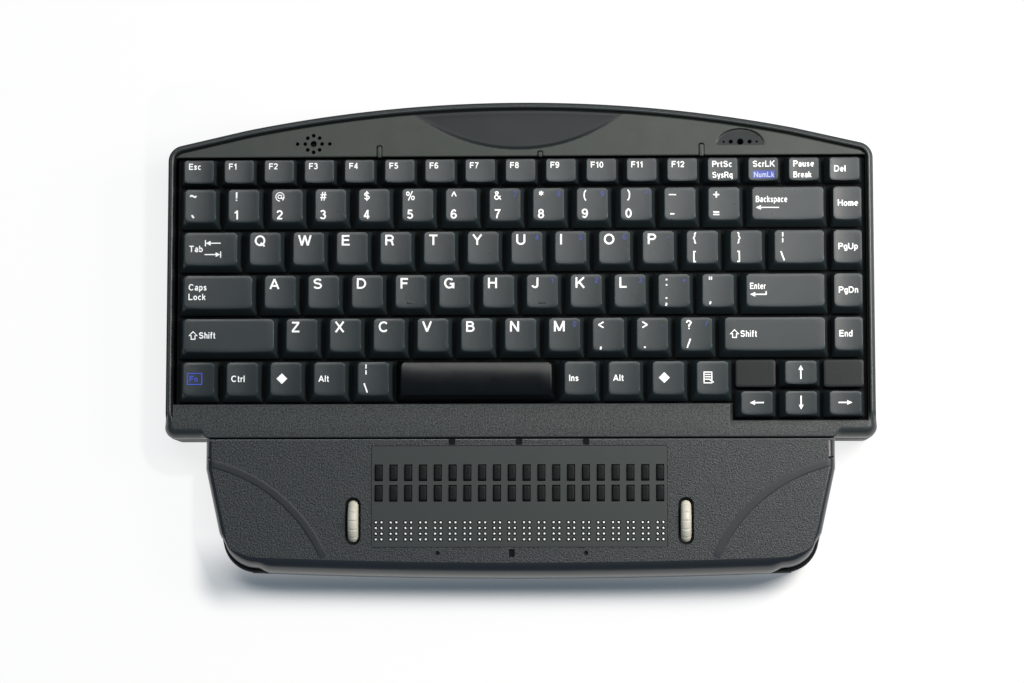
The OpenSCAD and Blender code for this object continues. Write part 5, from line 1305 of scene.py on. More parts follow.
class Keyboard:
    """All keycaps with their legends, fillers and rubber domes."""

    gap: float = 1.2
    left: float = -149.275
    front: float = -28.7
    pitch: float = 19.05
    row_d: float = 19.0
    nav_w: float = 15.3
    arrow_left: float = 92.925
    arrow_front: float = -36.1
    arrow_d: float = 13.2
    rings: Array = np.array([
        [0.06, 0.00, 0.9, 0.0], [0.00, 0.05, 1.0, 0.0], [0.44, 0.50, 1.3, 0.2], [0.90, 0.91, 1.6, 0.8],
        [0.98, 0.97, 1.75, 0.95], [1.05, 0.995, 1.75, 1.0], [1.17, 1.0, 1.65, 1.0]])

    def __init__(self, finishes: Finishes) -> None:
        """Lays out the rows."""
        self.finishes = finishes
        self.lettering = Lettering()
        self.rows = self.layout()

    def cells(self, row: int, widths: Sequence[float], depth: float | None = None) -> Array:
        """Cells of one row from its widths, as left, front, width and depth."""
        size = np.array(widths, float)
        left = self.left + np.concatenate([[0.0], np.cumsum(size)[:-1]])
        front = np.full(len(size), self.front + row * self.row_d)
        return np.stack([left, front, size, np.full(len(size), depth or self.row_d)], 1)

    def layout(self) -> list[Row]:
        """The rows of the keyboard, rear to front, with what is printed on them."""
        one, nav = self.pitch, self.nav_w
        function = self.cells(5, [299.35 / 17] * 17, 12.6)
        number = self.cells(4, [one] * 13 + [36.4, nav])
        upper = self.cells(3, [28.6] + [one] * 12 + [26.85, nav])
        home = self.cells(2, [35.3] + [one] * 11 + [39.2, nav])
        lower = self.cells(1, [44.9] + [one] * 10 + [48.65, nav])
        bottom = self.cells(0, [one] * 5 + [70.75] + [one] * 4)
        arrows = np.array([[self.arrow_left + one * column, self.arrow_front + self.arrow_d * row, one, self.arrow_d]
                           for column, row in ((1, 1), (0, 0), (1, 0), (2, 0))])
        white, blue, pad = InkColour.WHITE, InkColour.BLUE, InkColour.PAD

        def letters(keys: str, pads: dict[str, str]) -> list[list[tuple[str, Spot, InkColour]]]:
            """Legends of letter keys, with the blue pad legends of some."""
            return [[(key, Spot.LETTER, white)] + ([(pads[key], Spot.PAD, pad)] if key in pads else [])
                    for key in keys]

        def pairs(keys: Sequence[str], pads: dict[str, str]) -> list[list[tuple[str, Spot, InkColour]]]:
            """Legends of keys with two signs, the shifted one first."""
            return [[(key[0], Spot.SHIFTED, white), (key[1], Spot.PLAIN, white)]
                    + ([(pads[key], Spot.PAD, pad)] if key in pads else []) for key in keys]

        def words(*keys: str) -> list[list[tuple[str, Spot, InkColour]]]:
            """Legends of word keys, on two lines where a stroke parts them."""
            spots = {1: (Spot.WORD,), 2: (Spot.WORD_UP, Spot.WORD_DOWN)}
            return [[(part, spot, white) for part, spot in zip(key.split("/"), spots[len(key.split("/"))])]
                    for key in keys]

        def whites(*marks: tuple[str, Spot]) -> list[tuple[str, Spot, InkColour]]:
            """White legends of one key."""
            return [(text, spot, white) for text, spot in marks]

        shift = whites(("block_up", Spot.BLOCK_ARROW), ("Shift", Spot.BESIDE))
        top = [whites((key, Spot.FUNCTION)) for key in ["Esc"] + [f"F{n}" for n in range(1, 13)]]
        top += [whites(("PrtSc", Spot.FUNCTION), ("SysRq", Spot.SECOND)),
                [("ScrLK", Spot.FUNCTION, white), ("plate", Spot.PLATE, pad),
                 ("NumLk", Spot.ON_PLATE, InkColour.PALE)],
                whites(("Pause", Spot.FUNCTION), ("Break", Spot.SECOND)), *words("Del")]
        nav_cells = np.stack([row[-1] for row in (number, upper, home, lower)])
        plain, slim = CapShape(), CapShape(side=1.75, front=1.0, back=0.5, corner=1.4)
        column, low = CapShape(side=1.0, shift=0.25), CapShape(front=1.35, back=0.75, corner=1.5)
        bar = CapShape(dish=0.0, roll=0.4, bow=0.0, corner=2.0, shift=0.1)
        return [
            Row("function_row_keys", function, slim, top),
            Row("number_row_keys", number[:13], plain,
                pairs(["~`", "!1", "@2", "#3", "$4", "%5", "^6", "&7", "*8", "(9", ")0", "_-", "+="],
                      {"&7": "7", "*8": "8", "(9": "9", ")0": "*"})),
            Row("backspace_key", number[13:14], plain,
                [whites(("Backspace", Spot.UPPER_WORD), ("rub_out", Spot.LOWER_SIGN))]),
            Row("tab_key", upper[:1], plain, [whites(("Tab", Spot.WORD), ("tab_pair", Spot.TAB_SIGNS))]),
            Row("upper_row_keys", upper[1:14], plain,
                letters("QWERTYUIOP", {"U": "4", "I": "5", "O": "6", "P": "-"}) + pairs(["{[", "}]", "|\\"], {})),
            Row("caps_lock_key", home[:1], plain, words("Caps/Lock")),
            Row("home_row_keys", home[1:12], plain,
                letters("ASDFGHJKL", {"J": "1", "K": "2", "L": "3"}) + pairs([":;", "\"'"], {":;": "+"})),
            Row("enter_key", home[12:13], plain,
                [whites(("Enter", Spot.UPPER_WORD), ("return", Spot.LOWER_SIGN))]),
            Row("left_shift_key", lower[:1], plain, [shift]),
            Row("lower_row_keys", lower[1:11], plain,
                letters("ZXCVBNM", {"M": "0"}) + pairs(["<,", ">.", "?/"], {">.": ".", "?/": "/"})),
            Row("right_shift_key", lower[11:12], plain, [shift]),
            Row("modifier_keys", bottom[[0, 1, 2, 3, 4, 6, 7, 8, 9]], plain,
                [[("Fn", Spot.BOXED, blue), ("box", Spot.BOX, blue)], *words("Ctrl"), whites(("diamond", Spot.SIGN)),
                 *words("Alt"), *pairs(["|\\"], {}), *words("Ins", "Alt"), whites(("diamond", Spot.SIGN)),
                 whites(("page", Spot.SIGN))]),
            Row("space_bar", bottom[5:6], bar, [[]], "space_plastic", "space_bar_plastic"),
            Row("navigation_keys", nav_cells, column, words("Home", "PgUp", "PgDn", "End")),
            Row("arrow_keys", arrows, low, [whites(("up", Spot.TALL_ARROW)), whites(("left", Spot.LONG_ARROW)),
                                            whites(("down", Spot.TALL_ARROW)), whites(("right", Spot.LONG_ARROW))]),
        ]

    def frames(self, row: Row) -> tuple[Array, Array, Array, Array]:
        """Foot and top rectangles of a row's caps: lowest and highest corners, each K x 2."""
        low = row.cells[:, :2] + self.gap / 2
        high = row.cells[:, :2] + row.cells[:, 2:] - self.gap / 2
        shape = row.shape
        return (low, high, low + np.array([shape.side + shape.shift, shape.front]),
                high - np.array([shape.side - shape.shift, shape.back]))

    def top_z(self, row: Row, key: Array, x: Array, y: Array) -> Array:
        """Height of a cap's top: a dish across X, or a roll along Y.

        Args:
            row: the group.
            key: numbers of the keys.
            x: places across.
            y: places along.
        Returns:
            Heights.
        """
        low, high = (part[key] for part in self.frames(row)[2:])
        middle, half = (low + high) / 2, (high - low) / 2
        shape_x = np.clip(((x.T - middle[..., 0].T) / half[..., 0].T).T, -1.0, 1.0)
        shape_y = np.clip(((y.T - middle[..., 1].T) / half[..., 1].T).T, -1.2, 1.2)
        return row.shape.top - row.shape.dish * (1.0 - shape_x ** 2) - row.shape.roll * shape_y ** 2

    def caps(self, row: Row) -> None:
        """Keycaps as rings of rounded rectangles: foot, sloping skirt, rolled edge, and a dished top.

        Args:
            row: the group.
        """
        low, high, top_low, top_high = self.frames(row)
        share, rise, corner, follow = self.rings.T
        shrink = np.array([0.82, 0.55, 0.25])
        foot_low = low[:, None] + (top_low - low)[:, None] * share[None, :, None]
        foot_high = high[:, None] + (top_high - high)[:, None] * share[None, :, None]
        centre, half = (foot_low + foot_high) / 2, (foot_high - foot_low) / 2
        radius = np.broadcast_to(corner * row.shape.corner / 1.75, centre.shape[:2])
        centre = np.concatenate([centre, np.repeat(centre[:, -1:], 3, 1)], 1)
        half = np.concatenate([half, half[:, -1:] * shrink[None, :, None]], 1)
        radius = np.concatenate([radius, radius[:, -1:] * shrink], 1)
        follow = np.concatenate([follow, np.ones(3)])
        height = row.shape.skirt + (row.shape.top - row.shape.skirt) * np.concatenate([rise, np.ones(3)])
        stack = blocks(centre, half, radius, height, 7, 5)
        across = (stack[..., 0] - centre[..., None, 0]) / half[..., None, 0]
        ahead = np.clip(-(stack[..., 1] - centre[..., None, 1]) / half[..., None, 1], 0.0, 1.0)
        stack[..., 1] -= row.shape.bow * follow[None, :, None] * (1.0 - across ** 2) * ahead ** 2
        keys = np.arange(len(row.cells))
        sag = self.top_z(row, keys, stack[..., 0].reshape(len(keys), -1), stack[..., 1].reshape(len(keys), -1))
        stack[..., 2] += (sag.reshape(stack.shape[:-1]) - row.shape.top) * follow[None, :, None]
        form = Form().solid(stack)
        form.solid(lathe(row.middles, np.array([2.0, 2.4, 2.4]), np.array([24.4, 24.8, 29.0]), 12))
        if row.node == "home_row_keys":
            self.finding_bars(form, row)
        piece = form.build(row.node + "_caps", [self.finishes[row.finish]], 42.0)
        place(piece, row.body, row.slot, row.node)

    def finding_bars(self, form: Form, row: Row) -> None:
        """Low rounded bars near the front of the tops of F and J."""
        keys = np.array([3, 6])
        low, high = (part[keys] for part in self.frames(row)[2:])
        centre = np.stack([(low[:, 0] + high[:, 0]) / 2, low[:, 1] + 2.0], 1)
        half = np.array([[1.7, 0.42], [1.7, 0.42], [1.6, 0.32], [1.45, 0.17]])
        floor = self.top_z(row, keys, centre[:, 0], centre[:, 1])
        height = floor[:, None] + np.array([-0.3, 0.12, 0.24, 0.28])
        form.solid(blocks(centre[:, None], half, 0.4, height, 2, 4))

    def legends(self, row: Row) -> None:
        """Legends of a row, one piece for each ink.

        A letter's place is its spot's distance from an edge of the key's top; its height follows the top.

        Args:
            row: the group.
        """
        low, high = self.frames(row)[2:]
        for ink in InkColour:
            form = Form()
            for key, marks in enumerate(row.legends):
                for text, spot, colour in marks:
                    if colour is not ink:
                        continue
                    points, faces, width = self.lettering.letters(text)
                    from_x, in_x, from_y, in_y, tall, broad = spot.value
                    flat, width = points[:, :2] * np.array([tall * broad, tall]), width * tall * broad
                    x0, y0 = low[key]
                    x1, y1 = high[key]
                    x = {"left": x0 + in_x, "mid": x0 + in_x - width / 2, "far": x1 - in_x - width / 2,
                         "middle": (x0 + x1 - width) / 2}[from_x]
                    y = {"back": y1 - in_y - tall, "front": y0 + in_y, "centre": (y0 + y1 - tall) / 2 + in_y}[from_y]
                    flat = flat + np.array([x, y])
                    number = np.full(len(flat), key)
                    top = self.top_z(row, number, flat[:, 0], flat[:, 1])
                    thick = self.lettering.thickness * (0.5 if ink is InkColour.PAD else 1.0)
                    form.keep(lifted(flat, top + np.where(points[:, 2] > 0.0, thick, -0.02)), faces, 0)
            if form.total:
                piece = form.build(f"{row.node}_{ink.value}", [self.finishes[ink.value]])
                place(piece, row.body, row.slot)

    def domes(self, row: Row) -> None:
        """Rubber domes under a row's stems, on the main body, where they keep their shape."""
        radius = np.array([4.2, 4.1, 3.6, 3.1, 2.8, 2.6, 1.2])
        height = np.array([21.75, 22.1, 23.0, 23.8, 24.15, 24.3, 24.32])
        stack = lathe(row.middles, radius, height, 16)
        piece = Form().solid(stack).build(row.node + "_domes", [self.finishes["dome_rubber"]])
        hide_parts("dome_sheet")
        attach(piece, "main")
        row.joint
        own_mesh(piece)
        LOG.info("%s flattens with %s", piece.name, row.joint)

    def sheet(self) -> None:
        """The rubber sheet that joins the domes, with rounded corners."""
        low, high = (np.array(corner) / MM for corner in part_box("dome_sheet"))
        piece = pocket((low[0], low[1], 21.4), (high[0], high[1], 21.8), 2.0).build(
            "rubber_sheet", [self.finishes["dome_rubber"]])
        place(piece, "main", "dome_rubber", "dome_sheet")

    def fillers(self) -> None:
        """The two blank blocks beside the up arrow: low rounded blocks."""
        cells = np.array([[self.arrow_left + self.pitch * column, self.arrow_front + self.arrow_d]
                          for column in (0, 2)])
        centre = cells + np.array([self.pitch, self.arrow_d]) / 2
        half = np.array([17.4, 12.0]) / 2
        drop = np.array([0.0, 0.0, 0.12, 0.45, 1.2])
        height = np.array([25.8, 30.5, 30.85, 31.0, 31.0])
        stack = blocks(centre[:, None], half - drop[:, None], 1.2, height, 4, 5)
        piece = Form().solid(stack).build("blank_blocks", [self.finishes["filler_plastic"]])
        place(piece, "main", "key_plastic", "key_fillers")

    def build(self) -> None:
        """Builds every row, then the fillers and the sheet."""
        for row in self.rows:
            self.caps(row)
            self.legends(row)
            self.domes(row)
        self.fillers()
        self.sheet()


@dataclass
class BrailleDisplay:
    """The docked display: shell, wing ridges, bumpers, routing buttons, pins and thumb wheels."""

    finishes: Finishes
    panel_seat: Cut = ((-64.2, -91.35, 28.3), (64.2, -47.25, 32.0), 0.6)
    cell_window: Cut = ((-62.6, -89.0, 20.0), (62.6, -49.5, 30.0), 0.5)
    finder: Cut = ((-4.4, -95.5, 29.3), (-2.0, -92.1, 32.0), 0.3)
    pit_x: tuple[float, float] = (-35.3, 28.9)
    pit_y: float = -93.75
    half_w: float = 136.8
    rear_y: float = -44.2
    straight_y: float = -57.2
    corner_x: float = 127.0
    corner_y: float = -102.15
    corner_r: float = 15.0
    front_y: float = -104.5
    bow_r: float = 2851.8
    top_z: float = 30.0
    split_z: float = 15.0
    wall: float = 2.4
    rear_r: float = 0.5
    side_r: float = 3.0
    nose_r: float = 6.6
    nose_h: float = 10.5
    side_h: float = 5.0
    line_y: float = -84.25
    cells: int = 20
    cell_pitch: float = 6.42
    dot_pitch: float = 2.45
    pin_r: float = 0.52
    wheel_x: float = 72.1
    wheel_y: float = -79.95
    wheel_z: float = 21.7
    wheel_r: float = 11.5
    wheel_w: float = 4.5
    ribs: int = 18
    rib_d: float = 0.4
    crown: float = 2.0
    axle_r: float = 1.5
    rear_button_y: float = -59.05
    front_button_y: float = -67.95
    button_w: float = 3.05
    button_d: float = 6.75
    wing_x: float = 150.4
    wing_y: float = -124.85
    ridge_r: float = 71.8
    ridge_w: float = 1.9
    ridge_h: float = 0.16
    crease_from: float = 73.7
    crease_to: float = 74.05
    crease_d: float = 0.22
    bumper_in: float = 1.9
    bumper_t: float = 1.8
    bumper_low: float = 4.2
    bumper_round: float = 18.0
    bumper_h: float = 3.6

    def outline(self) -> Array:
        """Closed outline from the middle of the front edge, counter-clockwise.

        A bowed front, large front corners, sides that draw in towards the front, and a straight rear edge.

        Returns:
            N x 2 places.
        """
        lean = math.degrees(math.atan2(self.straight_y - self.corner_y, self.half_w - self.corner_x))
        tangent = self.corner_r * math.tan(math.radians(lean / 2))
        middle = (self.corner_x - tangent, self.corner_y + self.corner_r)
        bend = arc(middle, self.corner_r, -88.0, lean - 90.0, 30)
        x = np.linspace(0.0, middle[0] - 1.5, 60)
        front = np.stack([x, self.front_y + x ** 2 / (2 * self.bow_r)], 1)
        right = joined(front, bend, segment(bend[-1], (self.half_w, self.straight_y), 20),
                       segment((self.half_w, self.straight_y), (self.half_w, self.rear_y - 0.6), 8),
                       arc((self.half_w - 0.6, self.rear_y - 0.6), 0.6, 0.0, 90.0, 4),
                       segment((self.half_w - 0.6, self.rear_y), (0.0, self.rear_y), 30))
        return np.concatenate([right, right[-2:0:-1] * np.array([-1.0, 1.0])])

    def edge_size(self, normal: Array, side: float, nose: float) -> Array:
        """A size of the top edge by the way it looks: small at the rear, then its side size, then its nose size.

        Args:
            normal: N x 2 outward normals.
            side: size at the sides.
            nose: size at the front.
        Returns:
            N sizes.
        """
        ahead = -normal[:, 1]
        return (self.rear_r + (side - self.rear_r) * step(-0.9, -0.3, ahead)
                + (nose - side) * step(0.2, 0.95, ahead))

    def edge_radius(self, normal: Array) -> Array:
        """Radius of the top edge: sharp at the rear, wide at the front."""
        return self.edge_size(normal, self.side_r, self.nose_r)

    def edge_height(self, normal: Array) -> Array:
        """Height of the rounded top edge: an upright half-oval at the front and sides."""
        return self.edge_size(normal, self.side_h, self.nose_h)

    def nearest(self, points: Array) -> tuple[Array, Array]:
        """The outline's point nearest to each place, and how far inside the outline the place lies.

        Args:
            points: N x 2 places.
        Returns:
            Numbers of the outline's points, and N insets.
        """
        loop = self.outline()
        near = np.linalg.norm(points[:, None] - loop[None], axis=2).argmin(1)
        return near, ((loop[near] - points) * outward(loop)[near]).sum(1)

    def bumper_share(self, loop: Array) -> Array:
        """Share of the bumper at each place of the outline: full in the middle of a front corner."""
        right = np.abs(loop[:, 0])
        turn = np.degrees(np.arctan2(loop[:, 1] - (self.corner_y + self.corner_r), right - (self.corner_x - 12.08)))
        return np.where(right > 104.0, step(-112.0, -92.0, turn) * (1.0 - step(-14.0, 8.0, turn)), 0.0)

    def surface_z(self, points: Array) -> tuple[Array, Array, Array]:
        """Height of the shell's top at places in plan, and the nearest edge's normal and steepness.

        Args:
            points: ... x 2 places.
        Returns:
            Heights, outward normals, and the share of the slope that is upright.
        """
        normal = outward(self.outline())
        near, inset = self.nearest(points.reshape(-1, 2))
        radius = self.edge_radius(normal)[near]
        fall = self.edge_height(normal)[near]
        lean = np.clip((radius - np.maximum(inset, 0.0)) / radius, 0.0, 1.0)
        height = self.top_z - fall + fall * np.sqrt(1.0 - lean ** 2)
        shape = points.shape[:-1]
        return height.reshape(shape), normal[near].reshape(points.shape), lean.reshape(shape)

    def shell(self) -> None:
        """The upper shell: inner walls, outer wall stepped in behind the bumpers, rounded edge and grained top."""
        loop = self.outline()
        normal = outward(loop)
        radius = self.edge_radius(normal)
        stepped = self.bumper_in * self.bumper_share(loop)
        turn = np.linspace(0.0, math.pi / 2, 11)[:, None]
        inner = np.full(len(loop), self.wall + 1.8)
        inset = np.concatenate([np.stack([inner, inner, stepped]),
                                stepped + (radius - stepped) * (1.0 - np.cos(turn))])
        rise = self.top_z - self.edge_height(normal) * (1.0 - np.sin(turn))
        height = np.concatenate([np.tile([[27.0], [self.split_z], [self.split_z]], len(loop)), rise])
        walls = swept(loop, normal, inset, height)
        form = Form()
        form.grid(walls, around=True)
        form.lid(walls[0], False)
        form.lid(walls[-1], True, 1)
        piece = form.build("display_shell", [self.finishes[name] for name in
                                             ("nose_smooth", "display_grain", "black_and_painted_shade")], 40.0)
        cuts = [pocket(*self.panel_seat), pocket(*self.finder), *map(self.pit, self.pit_x),
                *self.wheel_slot(-1), *self.wheel_slot(1), pocket(*self.cell_window),
                self.crease(-1), self.crease(1)]
        # Each cut takes its cutter's near-black finish on its walls and floor: painted shade in the panel seat,
        # finder, pits, wheel slots, cell window and wing creases.
        for number, cut in enumerate(cuts):
            carve(piece, cut.build(f"cutter_{number}", [self.finishes["black_and_painted_shade"]]), 40.0)
        flatten(piece, 1)
        place(piece, "display", "case_plastic", "display_upper_case")

    def wheel_slot(self, side: int) -> list[Form]:
        """A thumb wheel's slot: a wide chamber, and above it a long hole that opens in a dished ring."""
        middle = np.array([side * self.wheel_x, self.wheel_y])
        shapes = (([2.9, 2.9], [10.6, 10.6], [2.6, 2.6], [20.0, 29.0]),
                  ([2.55, 2.55, 3.4, 3.4], [8.95, 8.95, 10.3, 10.3], [2.5, 2.5, 3.3, 3.3], [28.8, 29.2, 30.0, 34.0]))
        forms = []
        for across, along, radius, height in shapes:
            half = np.stack([across, along], 1)[None]
            forms.append(Form().solid(blocks(middle, half, np.array([radius]), np.array([height]), 6, 8)))
        return forms

    def pit(self, x: float) -> Form:
        """A small round pit in front of the panel, for a finger to find."""
        radius, height = np.array([0.4, 0.8, 1.2]), np.array([29.5, 29.6, 31.0])
        return Form().solid(lathe(np.array([[x, self.pit_y]]), radius, height, 18))

    def wing_path(self, side: int, radius: Array) -> Array:
        """Arcs over a wing: rows of radii about a centre outside the front corner, from the side to the front edge.

        Args:
            side: -1 for the left wing, 1 for the right.
            radius: rows radii.
        Returns:
            rows x N x 2 places.
        """
        centre = np.array([self.wing_x, self.wing_y])
        turn = np.linspace(math.radians(98.0), math.radians(165.0), 400)
        near, inset = self.nearest(centre + self.ridge_r * np.stack([np.cos(turn), np.sin(turn)], 1))
        facing = outward(self.outline())
        edge = self.edge_radius(facing) * step(0.2, 0.95, -facing[:, 1])
        inside = turn[inset > 0.25 + edge[near]]
        sweep = np.linspace(inside.min(), inside.max(), 70)
        rays = np.stack([np.cos(sweep), np.sin(sweep)], 1)
        path = centre + radius[:, None, None] * rays[None]
        return path * np.array([side, 1.0])

    def crease(self, side: int) -> Form:
        """A narrow groove on the inner side of a wing's ridge, as deep everywhere as the shell's top falls."""
        path = self.wing_path(side, np.array([self.crease_from, self.crease_to]))
        height = self.surface_z(path)[0]
        low, high = height - self.crease_d, height + 3.0
        rows = np.stack([lifted(path[0], low[0]), lifted(path[1], low[1]), lifted(path[1], high[1]),
                         lifted(path[0], high[0])])
        rows = rows if side < 0 else rows[::-1]
        form = Form()
        form.bar(rows)
        return form

    def ridges(self) -> None:
        """Smooth arc ridges over the wings: a low half-round along the arc, standing on the shell's surface."""
        form = Form()
        for side in (-1, 1):
            across = np.linspace(-1.0, 1.0, 13)
            path = self.wing_path(side, self.ridge_r + self.ridge_w * across)
            height, normal, lean = self.surface_z(path)
            count = path.shape[1]
            fade = step(0.0, 0.04, np.linspace(0.0, 1.0, count)) * step(0.0, 0.04, np.linspace(1.0, 0.0, count))
            proud = self.ridge_h * (1.0 - np.abs(across) ** 5)[:, None] * fade[None] - 0.03
            up = np.sqrt(1.0 - lean ** 2)
            top = lifted(path + normal * (proud * lean)[..., None], height + proud * up)
            under = lifted(path, height - 0.6)
            band = np.concatenate([top, under[::-1]])
            band = band[:, ::-1] if side < 0 else band
            form.grid(band[::-1], along=True)
            ends = band[::-1].transpose(1, 0, 2)
            form.keep(ends[0], [list(range(len(band)))[::-1]], 0)
            form.keep(ends[-1], [list(range(len(band)))], 0)
        place(form.build("wing_ridges", [self.finishes["ridge_smooth"]]), "display", "case_plastic")

    def bumpers(self) -> None:
        """Rubber crescents round the front corners: a rounded strip carried along the outline."""
        loop = self.outline()
        normal = outward(loop)
        share = self.bumper_share(loop)
        form = Form()
        for side in (-1, 1):
            pick = (share > 0.002) & (loop[:, 0] * side > 0)
            order = np.flatnonzero(pick)
            thick = self.bumper_t * share[order]
            turn = np.linspace(0.0, math.pi / 2, 6)[:, None]
            inset = np.concatenate([np.stack([thick + 0.2, thick * 0.4, np.zeros(len(order))]),
                                    (thick + 0.1) * (1 - np.cos(turn[1:])), np.stack([thick + 0.6])])
            height = np.concatenate([[[self.bumper_low], [self.bumper_low], [5.0]],
                                     self.bumper_round + self.bumper_h * np.sin(turn[1:]), [[21.4]]])
            form.bar(swept(loop[order], normal[order], inset, height))
        place(form.build("corner_guards", [self.finishes["rubber"]]), "display", "rubber", "corner_bumpers")

    def cell_x(self) -> Array:
        """X of the middle of each braille cell."""
        return (np.arange(self.cells) - (self.cells - 1) / 2) * self.cell_pitch

    def buttons(self) -> None:
        """Two rows of routing buttons: rounded upright blocks with a soft top edge and a flange below."""
        drop = np.array([0.0, -0.4, -0.4, 0.0, 0.0, 0.12, 0.45, 0.9])
        height = np.array([26.2, 26.2, 28.2, 28.2, 30.3, 30.62, 30.78, 30.8])
        half = np.array([self.button_w, self.button_d]) / 2 - drop[:, None]
        for name, y in (("rear", self.rear_button_y), ("front", self.front_button_y)):
            centre = np.stack([self.cell_x(), np.full(self.cells, y)], 1)
            form = Form().solid(blocks(centre[:, None], half, 0.7, height, 1, 3))
            place(form.build(f"{name}_buttons_set", [self.finishes["button_plastic"]]), f"{name}_buttons",
                  "button_plastic", f"{name}_routing_buttons")

    def pins(self) -> None:
        """Braille pins with domed tips, one piece for each dot of the cells."""
        places = ((1.5, -0.5), (0.5, -0.5), (-0.5, -0.5), (1.5, 0.5), (0.5, 0.5), (-0.5, 0.5),
                  (-1.5, -0.5), (-1.5, 0.5))
        for dot, (row, column) in enumerate(places, 1):
            low, high = (np.array(corner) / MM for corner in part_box(f"dot_{dot}_pins"))
            centre = np.stack([self.cell_x() + column * self.dot_pitch,
                               np.full(self.cells, self.line_y + row * self.dot_pitch)], 1)
            turn = np.radians([0.0, 35.0, 62.0, 82.0])
            radius = np.concatenate([[self.pin_r], self.pin_r * np.cos(turn)])
            height = np.concatenate([[low[2]], high[2] - 0.5 + 0.5 * np.sin(turn)])
            piece = Form().solid(lathe(centre, radius, height, 10)).build(f"dot_{dot}_set",
                                                                          [self.finishes["pin_white"]])
            place(piece, f"dot_{dot}", "pin_white", f"dot_{dot}_pins")

    def wheels(self) -> None:
        """Ribbed thumb wheels: a barrel whose radius waves round it, with rounded rims and stub axles."""
        for name, side in (("left", -1), ("right", 1)):
            low, high = (np.array(corner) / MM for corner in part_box(f"thumb_wheel_{name}"))
            reach = (high[0] - low[0]) / 2
            half = self.wheel_w / 2
            turn = np.linspace(0.0, 2.0 * math.pi, self.ribs * 20, endpoint=False)
            tilt = np.radians([0.0, 20.0, 40.0, 60.0, 76.0, 90.0])
            x = np.concatenate([[-reach, -reach, -half], -half * np.cos(tilt), half * np.cos(tilt[-2::-1]),
                                [half, reach, reach]])
            bulge = np.concatenate([np.sin(tilt), np.sin(tilt[-2::-1])])
            axle = np.array([0.02, self.axle_r, self.axle_r])
            radius = np.concatenate([axle, self.wheel_r - self.crown + self.crown * bulge, axle[::-1]])
            depth = np.concatenate([np.zeros(3), self.rib_d * bulge, np.zeros(3)])
            wave = np.clip(1.0 - np.abs(np.sin(self.ribs * turn / 2)) / 0.22, 0.0, 1.0)
            rim = radius[:, None] - depth[:, None] * wave[None]
            points = np.stack([np.broadcast_to(x[:, None] + side * self.wheel_x, rim.shape),
                               self.wheel_y + rim * np.sin(turn), self.wheel_z + rim * np.cos(turn)], -1)
            form = Form()
            form.grid(points[::-1], around=True)
            form.keep(points[0], [list(range(len(turn)))], 0)
            form.keep(points[-1], [list(range(len(turn)))[::-1]], 0)
            place(form.build(f"{name}_thumb_wheel", [self.finishes["wheel_ivory"]], 50.0), f"wheel_{name}",
                  "wheel_ivory", f"thumb_wheel_{name}")

    def build(self) -> None:
        """Builds and places the display's pieces."""
        self.shell()
        self.ridges()
        self.bumpers()
        self.buttons()
        self.pins()
        self.wheels()


@dataclass
class Carried:
    """Solids whose shape stays as it is, with their finishes."""

    finishes: Finishes

    def dress(self) -> None:
        """Gives each of these solids its material."""
        groups = {
            "lower_plastic": ("lower_case", "display_lower_case", "battery_cover"),
            # Near-black key frame, speaker and locator blocks: partly their own dark colour, partly painted shade
            # where they show through gaps, holes and notches.
            "black_and_painted_shade": ("key_frame", "speaker", "locator_blocks"),
            "steel": ("keyboard_plate", "case_screws", "display_screws"),
            "membrane_film": ("membrane",),
            "circuit_board": ("main_board", "cell_board", "button_board"),
            "battery_wrap": ("battery_pack",),
            "microphone_can": ("microphone",),
            "rubber": ("main_feet", "display_feet"),
            "socket_metal": ("power_socket", "usb_socket", "headphone_socket", "dock_socket", "dock_plug"),
            "braille_smooth": ("braille_panel",),
            "cell_plastic": ("cell_modules",),
            "reed_ceramic": ("piezo_reeds",),
            "yoke_plastic": ("wheel_yoke_left", "wheel_yoke_right"),
        }
        for finish, nodes in groups.items():
            for node in nodes:
                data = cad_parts[node].data
                data.materials.clear()
                data.materials.append(self.finishes[finish])
                LOG.info("%s keeps its solid, dressed in %s", node, finish)


